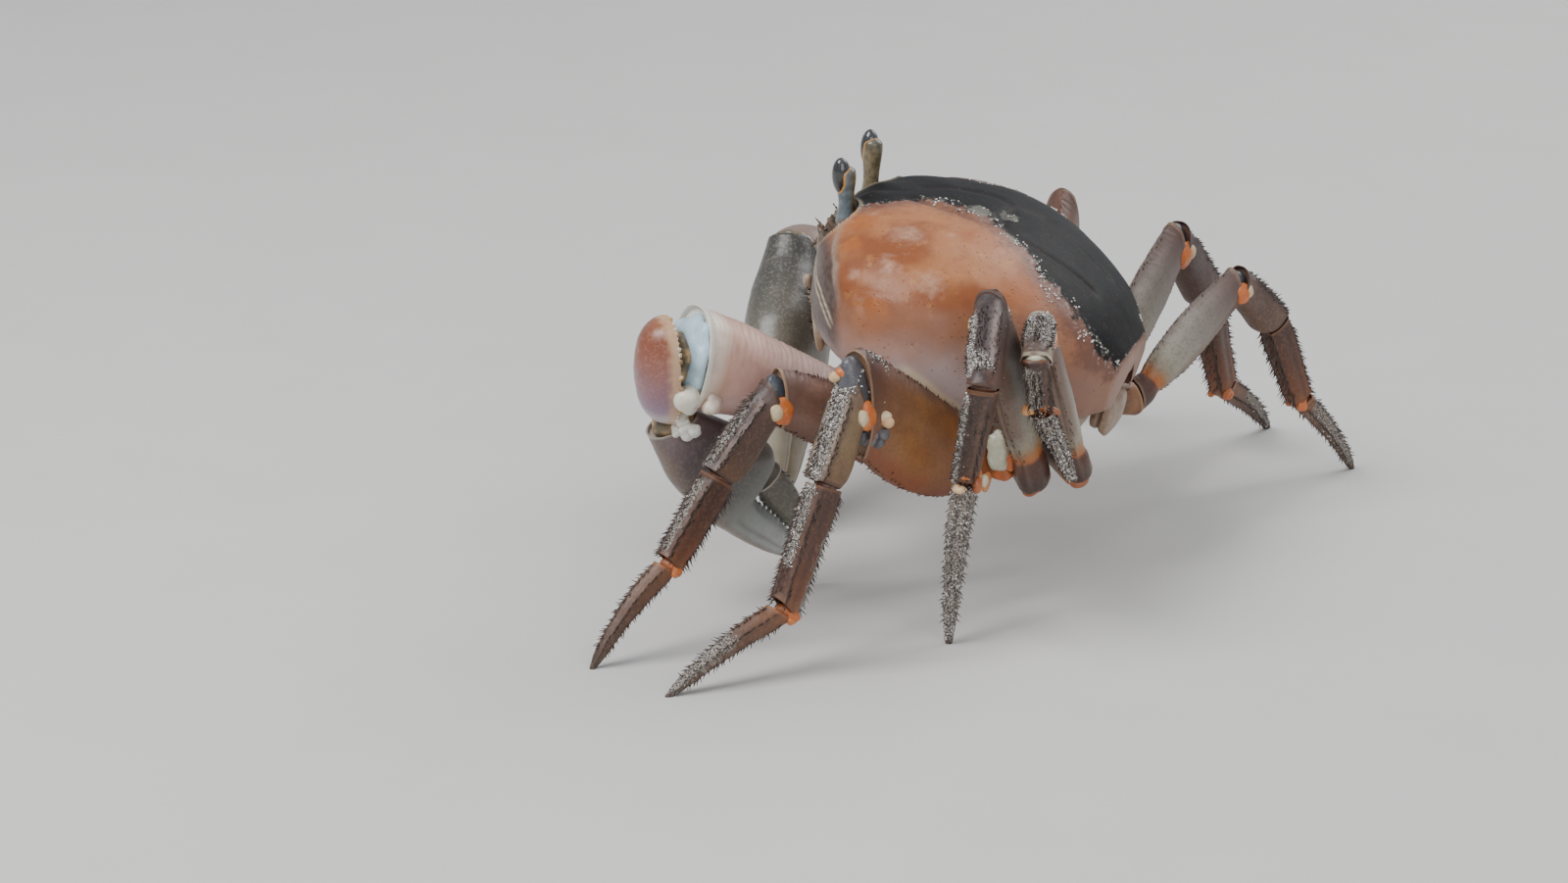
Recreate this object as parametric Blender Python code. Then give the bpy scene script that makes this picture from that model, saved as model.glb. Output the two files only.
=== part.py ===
"""Land crab of the genus Cardisoma, life size, standing still: solids for each shell piece.

Frame: metres, +Z up, +X to the crab's left, -Y ahead of it, origin under the middle of its box.
Sizes below are in millimetres. Points of the body are given in the body's own frame (x left,
y back, z up from the middle of the carapace); the joints of the limbs are given as they stand.
"""
import math

import bmesh
import bpy
from mathutils import Matrix, Vector

# ---- driving sizes -------------------------------------------------------------------------
millimetre = 0.001
jointGap = 0.3            # clear space between two shell pieces that meet
bodyPitch = 14            # degrees that the front of the body is raised
bodyHeight = 67           # of the body frame's origin over the floor
standOffset = (6.5, -3.9, 0.0)   # brings the middle of the model's box over the origin

# Carapace sections: place along the body, half width, top, height of the widest level,
# height of the lower rim and half width of the rim.
carapaceSections = (
    (-40, 14, 13, 8, 3, 10),
    (-37, 25, 18, 8, -4, 18),
    (-32, 35, 21.5, 7, -9, 25),
    (-24, 43, 24, 5.5, -12, 31),
    (-12, 49, 26.5, 4, -14.5, 35),
    (0, 50, 27, 3, -16.5, 36),
    (15, 45, 24, 1, -17, 34),
    (28, 36, 18.5, 0, -15, 28),
    (36, 28, 13.5, -1, -13, 21),
    (43, 18, 6, -3, -10, 14),
)
upperRoundness = (0.85, 0.9)     # powers of the cosine and sine that shape a section's upper half
lowerRoundness = (0.8, 0.95)
rimWidth = 4              # of the carapace's lower rim, outside the hollow over the leg bases
rimDepth = 5
carapaceSteps = 16        # sections along the carapace

# Thorax sections: place along the body, half width, bottom.
thoraxSections = ((-30, 15, -18), (-20, 18, -25), (0, 21, -28), (20, 20, -28), (34, 14, -24), (38, 10, -19))

thoraxRoundness = 0.6
thoraxSides = 16
thoraxRoof = 0.8          # clear space between the thorax and the carapace's hollow

# Abdomen, folded flat under the thorax: place along the body, half width. Its base, round the
# back end of the body: place, half width, top.
abdomenSections = ((-8, 4), (4, 6.5), (20, 9), (34, 10.5))
abdomenThickness = 2.6
abdomenGap = 0.7          # from the thorax's lowest line
abdomenBaseSections = ((38.5, 11, -9), (41, 11.5, -9.5), (44.5, 10, -11.5))
abdomenBaseThickness = 9

jawFoot = dict(size=(12.5, 4.5, 18), place=(6.6, -36.5, -11.5), lean=-8, edge=1.6)   # outer jaw feet

orbitCentre = (14, -35.8, 14)
orbitHalfSize = (10, 7.2, 7.2)
orbitTurn = 18            # degrees that the orbit's long axis swings back at its outer end
eyestalkBase = (10, -35.4, 14.5)
eyestalkTips = {"left": (11.5, -39.4, 30), "right": (11.5, -39.4, 32.4)}
eyestalkRadius = 2.3
eyeRadius = 2.9
eyeStart = 0.52           # share of the stalk's length below the cornea
eyeLength = 0.62          # half length of the cornea's ellipsoid, as a share of what is above that
stalkProfile = ((0, 0.9), (0.15, 1.1), (0.35, 0.92), (0.6, 1.15))   # share of the length, of the radius

# Standing pose of each walking leg: hip, end of the hip, knee, end of the carpus, end of the
# propodus and toe. The left legs bend as they do at rest on uneven ground.
legPoses = {
    "leg_1_left": ((25, -0.5, 44.5), (39, -3, 39), (71.5, -30.3, 61.5), (83.3, -41, 42.5), (94.6, -50.2, 22.5),
                   (112, -64, 0)),
    "leg_2_left": ((27, 9, 42), (40, 13, 37), (77.5, -8, 66.5), (89.5, -11.7, 45.5), (100.2, -18.6, 16),
                   (124, -40, 0)),
    "leg_3_left": ((25, 19, 39.5), (38, 27, 35.5), (58, 21, 83.5), (77, 24.5, 70), (63, 16.5, 42),
                   (68, 14, 0)),
    "leg_4_left": ((20, 27, 39.5), (31, 36.5, 36), (46, 30.5, 76.5), (60.7, 33, 73), (55.7, 33, 58.7),
                   (63.7, 44, 44)),
    "leg_1_right": ((-25, -0.5, 44.5), (-39, -4, 39.5), (-68, -34, 64), (-82, -46, 45), (-92, -56, 22),
                    (-107, -74, 0)),
    "leg_2_right": ((-27, 9, 42), (-41, 11, 37.5), (-83, 2, 68), (-99, -2, 48), (-112, -6, 19),
                    (-137, -15, 0)),
    "leg_3_right": ((-25, 19, 39.5), (-38, 25, 35.5), (-74, 36, 68), (-91, 41, 49), (-103, 44, 19),
                    (-128, 52, 0)),
    "leg_4_right": ((-20, 27, 39.5), (-31, 36, 36), (-60, 56, 62), (-73, 64, 48), (-82, 70, 24),
                    (-99, 82, 0)),
}
merusBreadth = {"leg_1": 0.86, "leg_2": 1.32, "leg_3": 0.86, "leg_4": 0.68}
merusBow = {"leg_1": 0, "leg_2": -2.8, "leg_3": 0, "leg_4": 0}     # middle line's bulge to the lower edge
lowerBreadth = {"leg_1": 0.82, "leg_2": 0.86, "leg_3": 0.92, "leg_4": 0.78}

# Section of each leg piece: share of its length, half breadth, half thickness.
legProfiles = {
    "hip": ((0.0, 5.4, 4.2), (0.5, 5.8, 4.5), (1.15, 5.2, 4.2)),
    "merus": ((-0.08, 4.6, 3.6), (0.08, 6.2, 3.9), (0.3, 8.7, 4.3), (0.6, 9.4, 4.4), (0.88, 8.3, 4.2),
              (1.12, 6.4, 3.8)),
    "carpus": ((-0.25, 4.6, 3.8), (0.1, 5.6, 4.2), (0.5, 6.0, 4.2), (0.88, 6.3, 4.2), (1.15, 5.2, 3.8)),
    "propodus": ((-0.15, 4.6, 3.4), (0.15, 5.2, 3.7), (0.55, 4.8, 3.4), (0.92, 4.1, 3.1), (1.12, 3.6, 2.8)),
    "dactyl": ((-0.12, 3.4, 2.7), (0.2, 3.5, 2.7), (0.5, 2.8, 2.2), (0.8, 1.9, 1.5), (1.04, 0.8, 0.7)),
}
dactylBow = 1.6
legSides = 10

# Claw arms: hip, end of the hip, elbow, middle of the carpus, wrist and finger tip; half sizes
# of the carpus along its length and across, and of the merus and palm in breadth and thickness;
# how far the elbow's plane turns from square across the merus, and the way the palm faces.
clawPoses = {
    "left": dict(hip=(23, -12.5, 49.5), hipEnd=(34, -22, 49), elbow=(66, -54.5, 67),
                 carpus=(69, -58, 64.5), wrist=(66.5, -58.5, 50.5), tip=(38, -31.5, 9), carpusHalf=(14, 9.4),
                 merusHalf=(12.5, 10.5), elbowTurn=0.15, palmHalf=(12, 7.5), palmFace=(0.75, 0.66, -0.07)),
    "right": dict(hip=(-23, -12.5, 49.5), hipEnd=(-34, -22, 49), elbow=(-62, -52, 50),
                  carpus=(-49, -59.5, 58), wrist=(-33, -59.5, 67), tip=(2, -52, 10), carpusHalf=(18, 11.5),
                  merusHalf=(12.5, 10.5), elbowTurn=0.5, palmHalf=(19, 10.2), palmFace=(0, -1, 0)),
}
# Hip and merus of a claw arm: share of the length; then half sizes, or for the merus its share of
# the way from the narrow end's half sizes to the wide end's.
clawHipProfile = ((0, 5.6, 4.8), (0.5, 6.2, 5.2), (1.3, 5.8, 5.0))
clawMerusNarrow = (5.0, 4.4)
clawMerusProfile = ((-0.1, 0.0), (0.08, 0.17), (0.4, 0.5), (0.75, 0.88), (0.97, 1.0), (1.2, 0.95))
clawSides = 14
# Palm and fixed finger: share of the length, share of the palm's half breadth, share of its
# half thickness, and shift of the middle line in half breadths.
palmProfile = (
    (-0.07, 0.46, 0.60, -0.08), (0.06, 0.62, 0.82, -0.12), (0.2, 0.84, 1.0, -0.10), (0.38, 1.0, 1.0, 0.0),
    (0.52, 0.92, 0.86, -0.06), (0.535, 0.50, 0.66, -0.44), (0.75, 0.36, 0.46, -0.38),
    (0.9, 0.22, 0.32, -0.25), (1.0, 0.08, 0.14, -0.10),
)
fingerProfile = (
    (0.50, 0.36, 0.62, 0.47), (0.6, 0.37, 0.58, 0.47), (0.75, 0.30, 0.46, 0.40), (0.9, 0.19, 0.32, 0.27),
    (1.0, 0.07, 0.13, 0.11),
)
fingerStart = 0.545

colours = {
    "carapace": ((0.40, 0.14, 0.05), 0.35),
    "underside": ((0.55, 0.42, 0.30), 0.5),
    "legs": ((0.10, 0.045, 0.035), 0.5),
    "merus": ((0.30, 0.13, 0.06), 0.4),
    "claws": ((0.50, 0.30, 0.28), 0.35),
    "fingers": ((0.62, 0.66, 0.64), 0.35),
    "eyestalks": ((0.36, 0.36, 0.34), 0.35),
    "eyes": ((0.05, 0.055, 0.06), 0.15),
}
up = Vector((0, 0, 1))


# ---- helpers -------------------------------------------------------------------------------
def clearScene():
    for old in list(bpy.data.objects):
        bpy.data.objects.remove(old, do_unlink=True)


def newCollection(name):
    collection = bpy.data.collections.new(name)
    bpy.context.scene.collection.children.link(collection)
    return collection


def material(kind):
    colour, roughness = colours[kind]
    made = bpy.data.materials.get(kind) or bpy.data.materials.new(kind)
    made.use_nodes = True
    shader = made.node_tree.nodes["Principled BSDF"]
    shader.inputs["Base Color"].default_value = (*colour, 1)
    shader.inputs["Roughness"].default_value = roughness
    shader.inputs["Metallic"].default_value = 0
    return made


def standing(point):
    """A point of the standing model, from its place over the body's spot on the floor."""
    return Vector(point) + Vector(standOffset)


def onBody(point):
    """A point given in the body's own frame, as it stands."""
    turn = Matrix.Rotation(math.radians(-bodyPitch), 3, "X")
    return standing(turn @ Vector(point) + Vector((0, 0, bodyHeight)))


def between(table, place):
    """The row of a table, smoothly interpolated by its first column."""
    last = len(table) - 1
    index = max(i for i in range(last) if place >= table[i][0] or i == 0)
    before, start, end, after = (table[min(max(index + step, 0), last)] for step in (-1, 0, 1, 2))
    share = min(max((place - start[0]) / (end[0] - start[0]), 0), 1)
    row = []
    for column in range(1, len(start)):
        values = [entry[column] for entry in (before, start, end, after)]
        slopeIn = (values[2] - values[0]) / max(end[0] - before[0], 1e-9) * (end[0] - start[0])
        slopeOut = (values[3] - values[1]) / max(after[0] - start[0], 1e-9) * (end[0] - start[0])
        cube, square = share ** 3, share ** 2
        row.append((2 * cube - 3 * square + 1) * values[1] + (cube - 2 * square + share) * slopeIn
                   + (3 * square - 2 * cube) * values[2] + (cube - square) * slopeOut)
    return row


def loft(rings):
    """A closed body through rings of equally many points, capped flat at both ends."""
    body = bmesh.new()
    loops = [[body.verts.new(point * millimetre) for point in ring] for ring in rings]
    count = len(loops[0])
    for lower, upper in zip(loops, loops[1:]):
        for i in range(count):
            body.faces.new((lower[i], lower[(i + 1) % count], upper[(i + 1) % count], upper[i]))
    body.faces.new(loops[0][::-1])
    body.faces.new(loops[-1])
    bmesh.ops.recalc_face_normals(body, faces=body.faces)
    return body


def ellipseRing(centre, broad, thin, halfBreadth, halfThickness, sides):
    return [centre + broad * (halfBreadth * math.cos(turn)) + thin * (halfThickness * math.sin(turn))
            for turn in (2 * math.pi * (i + 0.5) / sides for i in range(sides))]


def cutAway(body, point, normal, clearance):
    """Cut off all that lies beyond a plane, less a clearance, and close the cut."""
    normal = normal.normalized()
    place = (point - normal * clearance) * millimetre
    cut = bmesh.ops.bisect_plane(body, geom=body.verts[:] + body.edges[:] + body.faces[:], dist=1e-7,
                                 plane_co=place, plane_no=normal, clear_outer=True)
    rim = [item for item in cut["geom_cut"] if isinstance(item, bmesh.types.BMEdge)]
    if rim:
        bmesh.ops.edgeloop_fill(body, edges=rim)
        bmesh.ops.recalc_face_normals(body, faces=body.faces)


def addPiece(name, body, kind, collection):
    mesh = bpy.data.meshes.new(name)
    bmesh.ops.dissolve_degenerate(body, dist=1e-6, edges=body.edges)
    body.to_mesh(mesh)
    body.free()
    mesh.materials.append(material(kind))
    mesh.shade_smooth()
    piece = bpy.data.objects.new(name, mesh)
    collection.objects.link(piece)
    return piece


# ---- body ----------------------------------------------------------------------------------
def carapaceRing(place, upperSteps=8, lowerSteps=5):
    """One section of the carapace, from its ridge line round the left side and the right."""
    halfWidth, top, widest, rim, rimHalf = between(carapaceSections, place)
    left = []
    for i in range(upperSteps):
        angle = math.pi / 2 * (1 - i / (upperSteps - 1))
        left.append((halfWidth * math.cos(angle) ** upperRoundness[0],
                     widest + (top - widest) * math.sin(angle) ** upperRoundness[1]))
    left[0] = (0, top)
    for i in range(1, lowerSteps + 1):
        angle = math.pi / 2 * i / lowerSteps
        flank = max(math.cos(angle), 0) ** lowerRoundness[0]
        left.append((rimHalf + (halfWidth - rimHalf) * flank,
                     widest - (widest - rim) * math.sin(angle) ** lowerRoundness[1]))
    left.append((rimHalf - rimWidth * 0.7, rim + 1))
    left.append((rimHalf - rimWidth, rim + rimDepth))
    right = [(-x, z) for x, z in left[:0:-1]]
    return [onBody((x, place, z)) for x, z in left + right]


def makeCarapace(collection, cutters):
    first, last = carapaceSections[0][0], carapaceSections[-1][0]
    places = [first + (last - first) * 0.5 * (1 - math.cos(math.pi * i / carapaceSteps))
              for i in range(carapaceSteps + 1)]
    shell = addPiece("carapace", loft([carapaceRing(place) for place in places]), "carapace", collection)
    for side in (1, -1):
        socket = bmesh.new()
        bmesh.ops.create_uvsphere(socket, u_segments=14, v_segments=9, radius=1)
        x, y, z = orbitCentre
        size = Matrix.Diagonal(Vector(orbitHalfSize) * millimetre).to_4x4()
        turn = Matrix.Rotation(math.radians(orbitTurn * side), 4, "Z")
        socket.transform(Matrix.Translation(onBody((side * x, y, z)) * millimetre) @ turn @ size)
        name = "orbit_cutter_left" if side > 0 else "orbit_cutter_right"
        cutter = addPiece(name, socket, "carapace", cutters)
        cutter.hide_render = True
        cutter.display_type = "WIRE"
        hollow = shell.modifiers.new(name, "BOOLEAN")
        hollow.operation = "DIFFERENCE"
        hollow.solver = "EXACT"
        hollow.object = cutter


def makeThorax(collection):
    """The breastplate between the leg bases, up into the hollow under the carapace."""
    rings = []
    for place, _, _ in thoraxSections:
        halfWidth, bottom = between(thoraxSections, place)
        top = between(carapaceSections, place)[3] + rimDepth - thoraxRoof
        middle, halfHeight = (top + bottom) / 2, (top - bottom) / 2
        ring = []
        for i in range(thoraxSides):
            angle = 2 * math.pi * (i + 0.5) / thoraxSides
            across, rise = (math.copysign(abs(value) ** thoraxRoundness, value)
                            for value in (math.cos(angle), math.sin(angle)))
            ring.append(onBody((halfWidth * across, place, middle + halfHeight * rise)))
        rings.append(ring)
    addPiece("thorax", loft(rings), "underside", collection)


def plateRing(place, halfWidth, top, thickness):
    chamfer = min(thickness * 0.35, halfWidth * 0.3)
    floor = top - thickness
    outline = ((halfWidth, top), (halfWidth, floor + chamfer), (halfWidth - chamfer, floor),
               (chamfer - halfWidth, floor), (-halfWidth, floor + chamfer), (-halfWidth, top))
    return [onBody((x, place, z)) for x, z in outline]


def makeAbdomen(collection):
    rings = []
    for place, halfWidth in abdomenSections:
        top = between(thoraxSections, place)[1] - abdomenGap
        rings.append(plateRing(place, halfWidth, top, abdomenThickness))
    addPiece("abdomen", loft(rings), "underside", collection)
    rear = [plateRing(place, halfWidth, top, abdomenBaseThickness)
            for place, halfWidth, top in abdomenBaseSections]
    addPiece("abdomen_base", loft(rear), "underside", collection)


def makeMouth(collection):
    """The two outer jaw feet that close the mouth like a pair of doors."""
    for side, name in ((1, "maxilliped_left"), (-1, "maxilliped_right")):
        plate = bmesh.new()
        bmesh.ops.create_cube(plate, size=millimetre)
        plate.transform(Matrix.Diagonal((*jawFoot["size"], 1)))
        bmesh.ops.bevel(plate, geom=plate.edges[:], offset=jawFoot["edge"] * millimetre, segments=2,
                        profile=0.5, affect="EDGES", material=-1)
        lean = Matrix.Rotation(math.radians(-jawFoot["lean"]), 4, "X")
        x, y, z = jawFoot["place"]
        plate.transform(Matrix.Translation(onBody((side * x, y, z)) * millimetre) @ lean)
        addPiece(name, plate, "underside", collection)


def makeEyes(collection):
    for side, word in ((1, "left"), (-1, "right")):
        base = onBody((side * eyestalkBase[0], *eyestalkBase[1:]))
        x, y, z = eyestalkTips[word]
        tip = onBody((side * x, y, z))
        along = (tip - base).normalized()
        length = (tip - base).length
        thin = along.cross(Vector((1, 0, 0))).normalized()
        broad = thin.cross(along)
        split = base + along * (length * eyeStart)
        rings = [ellipseRing(base + along * (length * share), broad, thin, eyestalkRadius * size,
                             eyestalkRadius * size, 12) for share, size in stalkProfile]
        stalk = loft(rings)
        cutAway(stalk, split, along, jointGap / 2)
        addPiece("eyestalk_" + word, stalk, "eyestalks", collection)
        ball = bmesh.new()
        bmesh.ops.create_uvsphere(ball, u_segments=14, v_segments=10, radius=1)
        half = length * (1 - eyeStart) * eyeLength
        size = Matrix.Diagonal((eyeRadius * millimetre, eyeRadius * millimetre, half * millimetre, 1))
        turn = along.to_track_quat("Z", "Y").to_matrix().to_4x4()
        ball.transform(Matrix.Translation((tip - along * half) * millimetre) @ turn @ size)
        cutAway(ball, split, -along, jointGap / 2)
        addPiece("eye_" + word, ball, "eyes", collection)


# ---- limbs ---------------------------------------------------------------------------------
def limbPiece(start, end, side, profile, breadth=1.0, bow=0.0, sides=legSides):
    """A tapered piece between two joints; side is the way across the limb."""
    along = (end - start).normalized()
    broad = side.cross(along).normalized()
    thin = along.cross(broad)
    rings = []
    for share, halfBreadth, halfThickness in profile:
        arch = broad * (bow * 4 * share * (1 - share))
        rings.append(ellipseRing(start.lerp(end, share) + arch, broad, thin, halfBreadth * breadth,
                                 halfThickness * (0.5 + breadth / 2), sides))
    return loft(rings)


def makeLeg(name, pose, collection):
    joints = [standing(point) for point in pose]
    kind = name[:5]
    reach = (joints[-1] - joints[0]) * Vector((1, 1, 0))
    side = reach.cross(up).normalized()
    ways = [(end - start).normalized() for start, end in zip(joints, joints[1:])]
    planes = [ways[0]] + [(before + after).normalized() for before, after in zip(ways, ways[1:])] + [-up]
    for i, piece in enumerate(legProfiles):
        breadth = merusBreadth[kind] if piece == "merus" else lowerBreadth[kind]
        bow = {"dactyl": dactylBow, "merus": merusBow[kind]}.get(piece, 0)
        body = limbPiece(joints[i], joints[i + 1], side, legProfiles[piece], breadth, bow)
        if i > 0:
            cutAway(body, joints[i], -planes[i], jointGap / 2)
        cutAway(body, joints[i + 1], planes[i + 1], 0 if piece == "dactyl" else jointGap / 2)
        look = "merus" if piece in ("hip", "merus") else "legs"
        addPiece(name + "_" + piece, body, look, collection)


def makeClaw(word, pose, collection):
    hip, hipEnd, elbow, carpus, wrist, tip = (
        standing(pose[key]) for key in ("hip", "hipEnd", "elbow", "carpus", "wrist", "tip"))
    upperArm = (elbow - hipEnd).normalized()
    hipWay = (hipEnd - hip).normalized()
    side = upperArm.cross(up).normalized()
    hipPlane = (hipWay + upperArm).normalized()
    hipPiece = limbPiece(hip, hipEnd, hipWay.cross(up).normalized(), clawHipProfile)
    cutAway(hipPiece, hipEnd, hipPlane, jointGap / 2)
    addPiece("claw_%s_hip" % word, hipPiece, "merus", collection)

    arm = [(share, *(narrow + (wide - narrow) * growth
                     for narrow, wide in zip(clawMerusNarrow, pose["merusHalf"])))
           for share, growth in clawMerusProfile]
    elbowPlane = (upperArm * (1 - pose["elbowTurn"]) + (wrist - elbow).normalized() * pose["elbowTurn"])
    merus = limbPiece(hipEnd, elbow, side, arm, sides=clawSides)
    cutAway(merus, hipEnd, -hipPlane, jointGap / 2)
    cutAway(merus, elbow, elbowPlane, jointGap / 2)
    addPiece("claw_%s_merus" % word, merus, "claws", collection)

    along = (tip - wrist).normalized()
    reach = (wrist - carpus).normalized()
    wristPlane = (reach + along).normalized()
    knob = bmesh.new()
    bmesh.ops.create_uvsphere(knob, u_segments=16, v_segments=11, radius=1)
    length, radius = pose["carpusHalf"]
    turn = reach.to_track_quat("Z", "Y").to_matrix().to_4x4()
    size = Matrix.Diagonal((radius * millimetre, radius * millimetre, length * millimetre, 1))
    knob.transform(Matrix.Translation(carpus * millimetre) @ turn @ size)
    cutAway(knob, elbow, -elbowPlane, jointGap / 2)
    cutAway(knob, wrist, wristPlane, jointGap / 2)
    addPiece("claw_%s_carpus" % word, knob, "claws", collection)

    halfBreadth, halfThickness = pose["palmHalf"]
    broadWay = Vector(pose["palmFace"]).cross(along).normalized()
    thinWay = along.cross(broadWay)
    span = (tip - wrist).length

    def clawBody(profile):
        rings = []
        for share, broadShare, thinShare, shift in profile:
            centre = wrist + along * (share * span) + broadWay * (shift * halfBreadth)
            rings.append(ellipseRing(centre, broadWay, thinWay, broadShare * halfBreadth,
                                     thinShare * halfThickness, clawSides))
        return loft(rings)

    palm = clawBody(palmProfile)
    cutAway(palm, wrist, -wristPlane, jointGap / 2)
    addPiece("claw_%s_palm" % word, palm, "claws", collection)
    finger = clawBody(fingerProfile)
    cutAway(finger, wrist + along * (fingerStart * span), -along, 0)
    addPiece("claw_%s_finger" % word, finger, "fingers", collection)


def main():
    clearScene()
    crab = newCollection("land_crab")
    cutters = newCollection("cutters")
    makeCarapace(crab, cutters)
    makeThorax(crab)
    makeAbdomen(crab)
    makeMouth(crab)
    makeEyes(crab)
    for name, pose in legPoses.items():
        makeLeg(name, pose, crab)
    for word, pose in clawPoses.items():
        makeClaw(word, pose, crab)


main()
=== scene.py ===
# Land crab, life size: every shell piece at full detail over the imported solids, in millimetres
# until a piece is finished.
import math
import random

import bmesh
import bpy
from mathutils import Matrix, Vector, noise


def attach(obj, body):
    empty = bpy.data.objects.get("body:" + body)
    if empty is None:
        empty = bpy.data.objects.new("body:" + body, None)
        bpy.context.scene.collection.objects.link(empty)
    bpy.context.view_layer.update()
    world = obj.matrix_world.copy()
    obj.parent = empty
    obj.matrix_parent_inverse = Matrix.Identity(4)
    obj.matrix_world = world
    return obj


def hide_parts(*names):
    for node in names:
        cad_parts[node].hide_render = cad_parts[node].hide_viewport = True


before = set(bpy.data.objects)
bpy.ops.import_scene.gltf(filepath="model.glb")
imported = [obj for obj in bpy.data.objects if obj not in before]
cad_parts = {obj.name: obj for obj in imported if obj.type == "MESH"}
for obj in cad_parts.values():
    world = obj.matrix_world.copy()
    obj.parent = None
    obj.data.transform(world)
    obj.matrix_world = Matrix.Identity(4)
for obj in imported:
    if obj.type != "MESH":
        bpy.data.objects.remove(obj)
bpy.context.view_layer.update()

millimetre = 0.001
up = Vector((0, 0, 1))
dice = random.Random(11)

stance = {
    "pitch": 14,                 # degrees that the front is raised
    "height": 67,                # of the body's middle over the floor
    "shift": (6.5, -3.9, 0.0),   # from the body's spot on the floor to the middle of the box
}


# small sums
def rise(low, high, value):      # 0 below low, 1 above high, smooth between
    share = min(max((value - low) / (high - low), 0.0), 1.0)
    return share * share * (3 - 2 * share)


def hump(value, middle, width):  # 1 at the middle, fading to both sides
    return math.exp(-((value - middle) / width) ** 2)


def within(first, last, share, soft=0.06):
    return rise(first - soft, first + soft, share) * rise(last + soft, last - soft, share)


def lump(point, size):           # smooth noise from -1 to 1, lumps about that size
    return noise.noise(Vector(point) / size)


def power(value, exponent):
    return math.copysign(abs(value) ** exponent, value)


def between(table, place):       # a table's row at that place, smooth through its rows
    last = len(table) - 1
    index = max(i for i in range(last) if place >= table[i][0] or i == 0)
    before, start, end, after = (table[min(max(index + step, 0), last)] for step in (-1, 0, 1, 2))
    share = min(max((place - start[0]) / (end[0] - start[0]), 0), 1)
    cube, square, length = share ** 3, share ** 2, end[0] - start[0]
    row = []
    for column in range(1, len(start)):
        slopeIn = (end[column] - before[column]) / (end[0] - before[0]) * length
        slopeOut = (after[column] - start[column]) / (after[0] - start[0]) * length
        row.append((2 * cube - 3 * square + 1) * start[column] + (cube - 2 * square + share) * slopeIn
                   + (3 * square - 2 * cube) * end[column] + (cube - square) * slopeOut)
    return row


def distanceTo(path, x, y):      # from a point to a line of a few corners, seen from above
    spot = Vector((x, y))
    best = 1e9
    for start, end in zip(path, path[1:]):
        a, b = Vector(start), Vector(end)
        share = min(max((spot - a).dot(b - a) / (b - a).length_squared, 0), 1)
        best = min(best, (spot - a.lerp(b, share)).length)
    return best


def linear(colour):              # red, green and blue from 0 to 255 as light amounts
    return (*(((value / 255 + 0.055) / 1.055) ** 2.4 for value in colour), 1)


def standing(point):
    return Vector(point) + Vector(stance["shift"])


def mirrored(side, point):       # a point of the left side, or its twin on the right
    return Vector((side * point[0], *point[1:]))


def closingAt(way, cap):         # 1 along a tube, rounding off to 0 at its two ends
    return math.sqrt(1 - (1 - min(way / cap, (1 - way) / cap, 1.0)) ** 2)


bodyMatrix = (Matrix.Translation(Vector(stance["shift"]) + Vector((0, 0, stance["height"])))
              @ Matrix.Rotation(math.radians(-stance["pitch"]), 4, "X"))


def onBody(point):
    return bodyMatrix @ Vector(point)


# shader sums
class Wire:
    # a node's output that adds and multiplies like a number
    def __init__(self, paint, socket):
        self.paint = paint
        self.socket = socket

    def __add__(self, other):
        return self.paint.maths("ADD", self, other)

    def __sub__(self, other):
        return self.paint.maths("SUBTRACT", self, other)

    def __rsub__(self, other):
        return self.paint.maths("SUBTRACT", other, self)

    def __mul__(self, other):
        return self.paint.maths("MULTIPLY", self, other)

    __radd__ = __add__
    __rmul__ = __mul__


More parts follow.
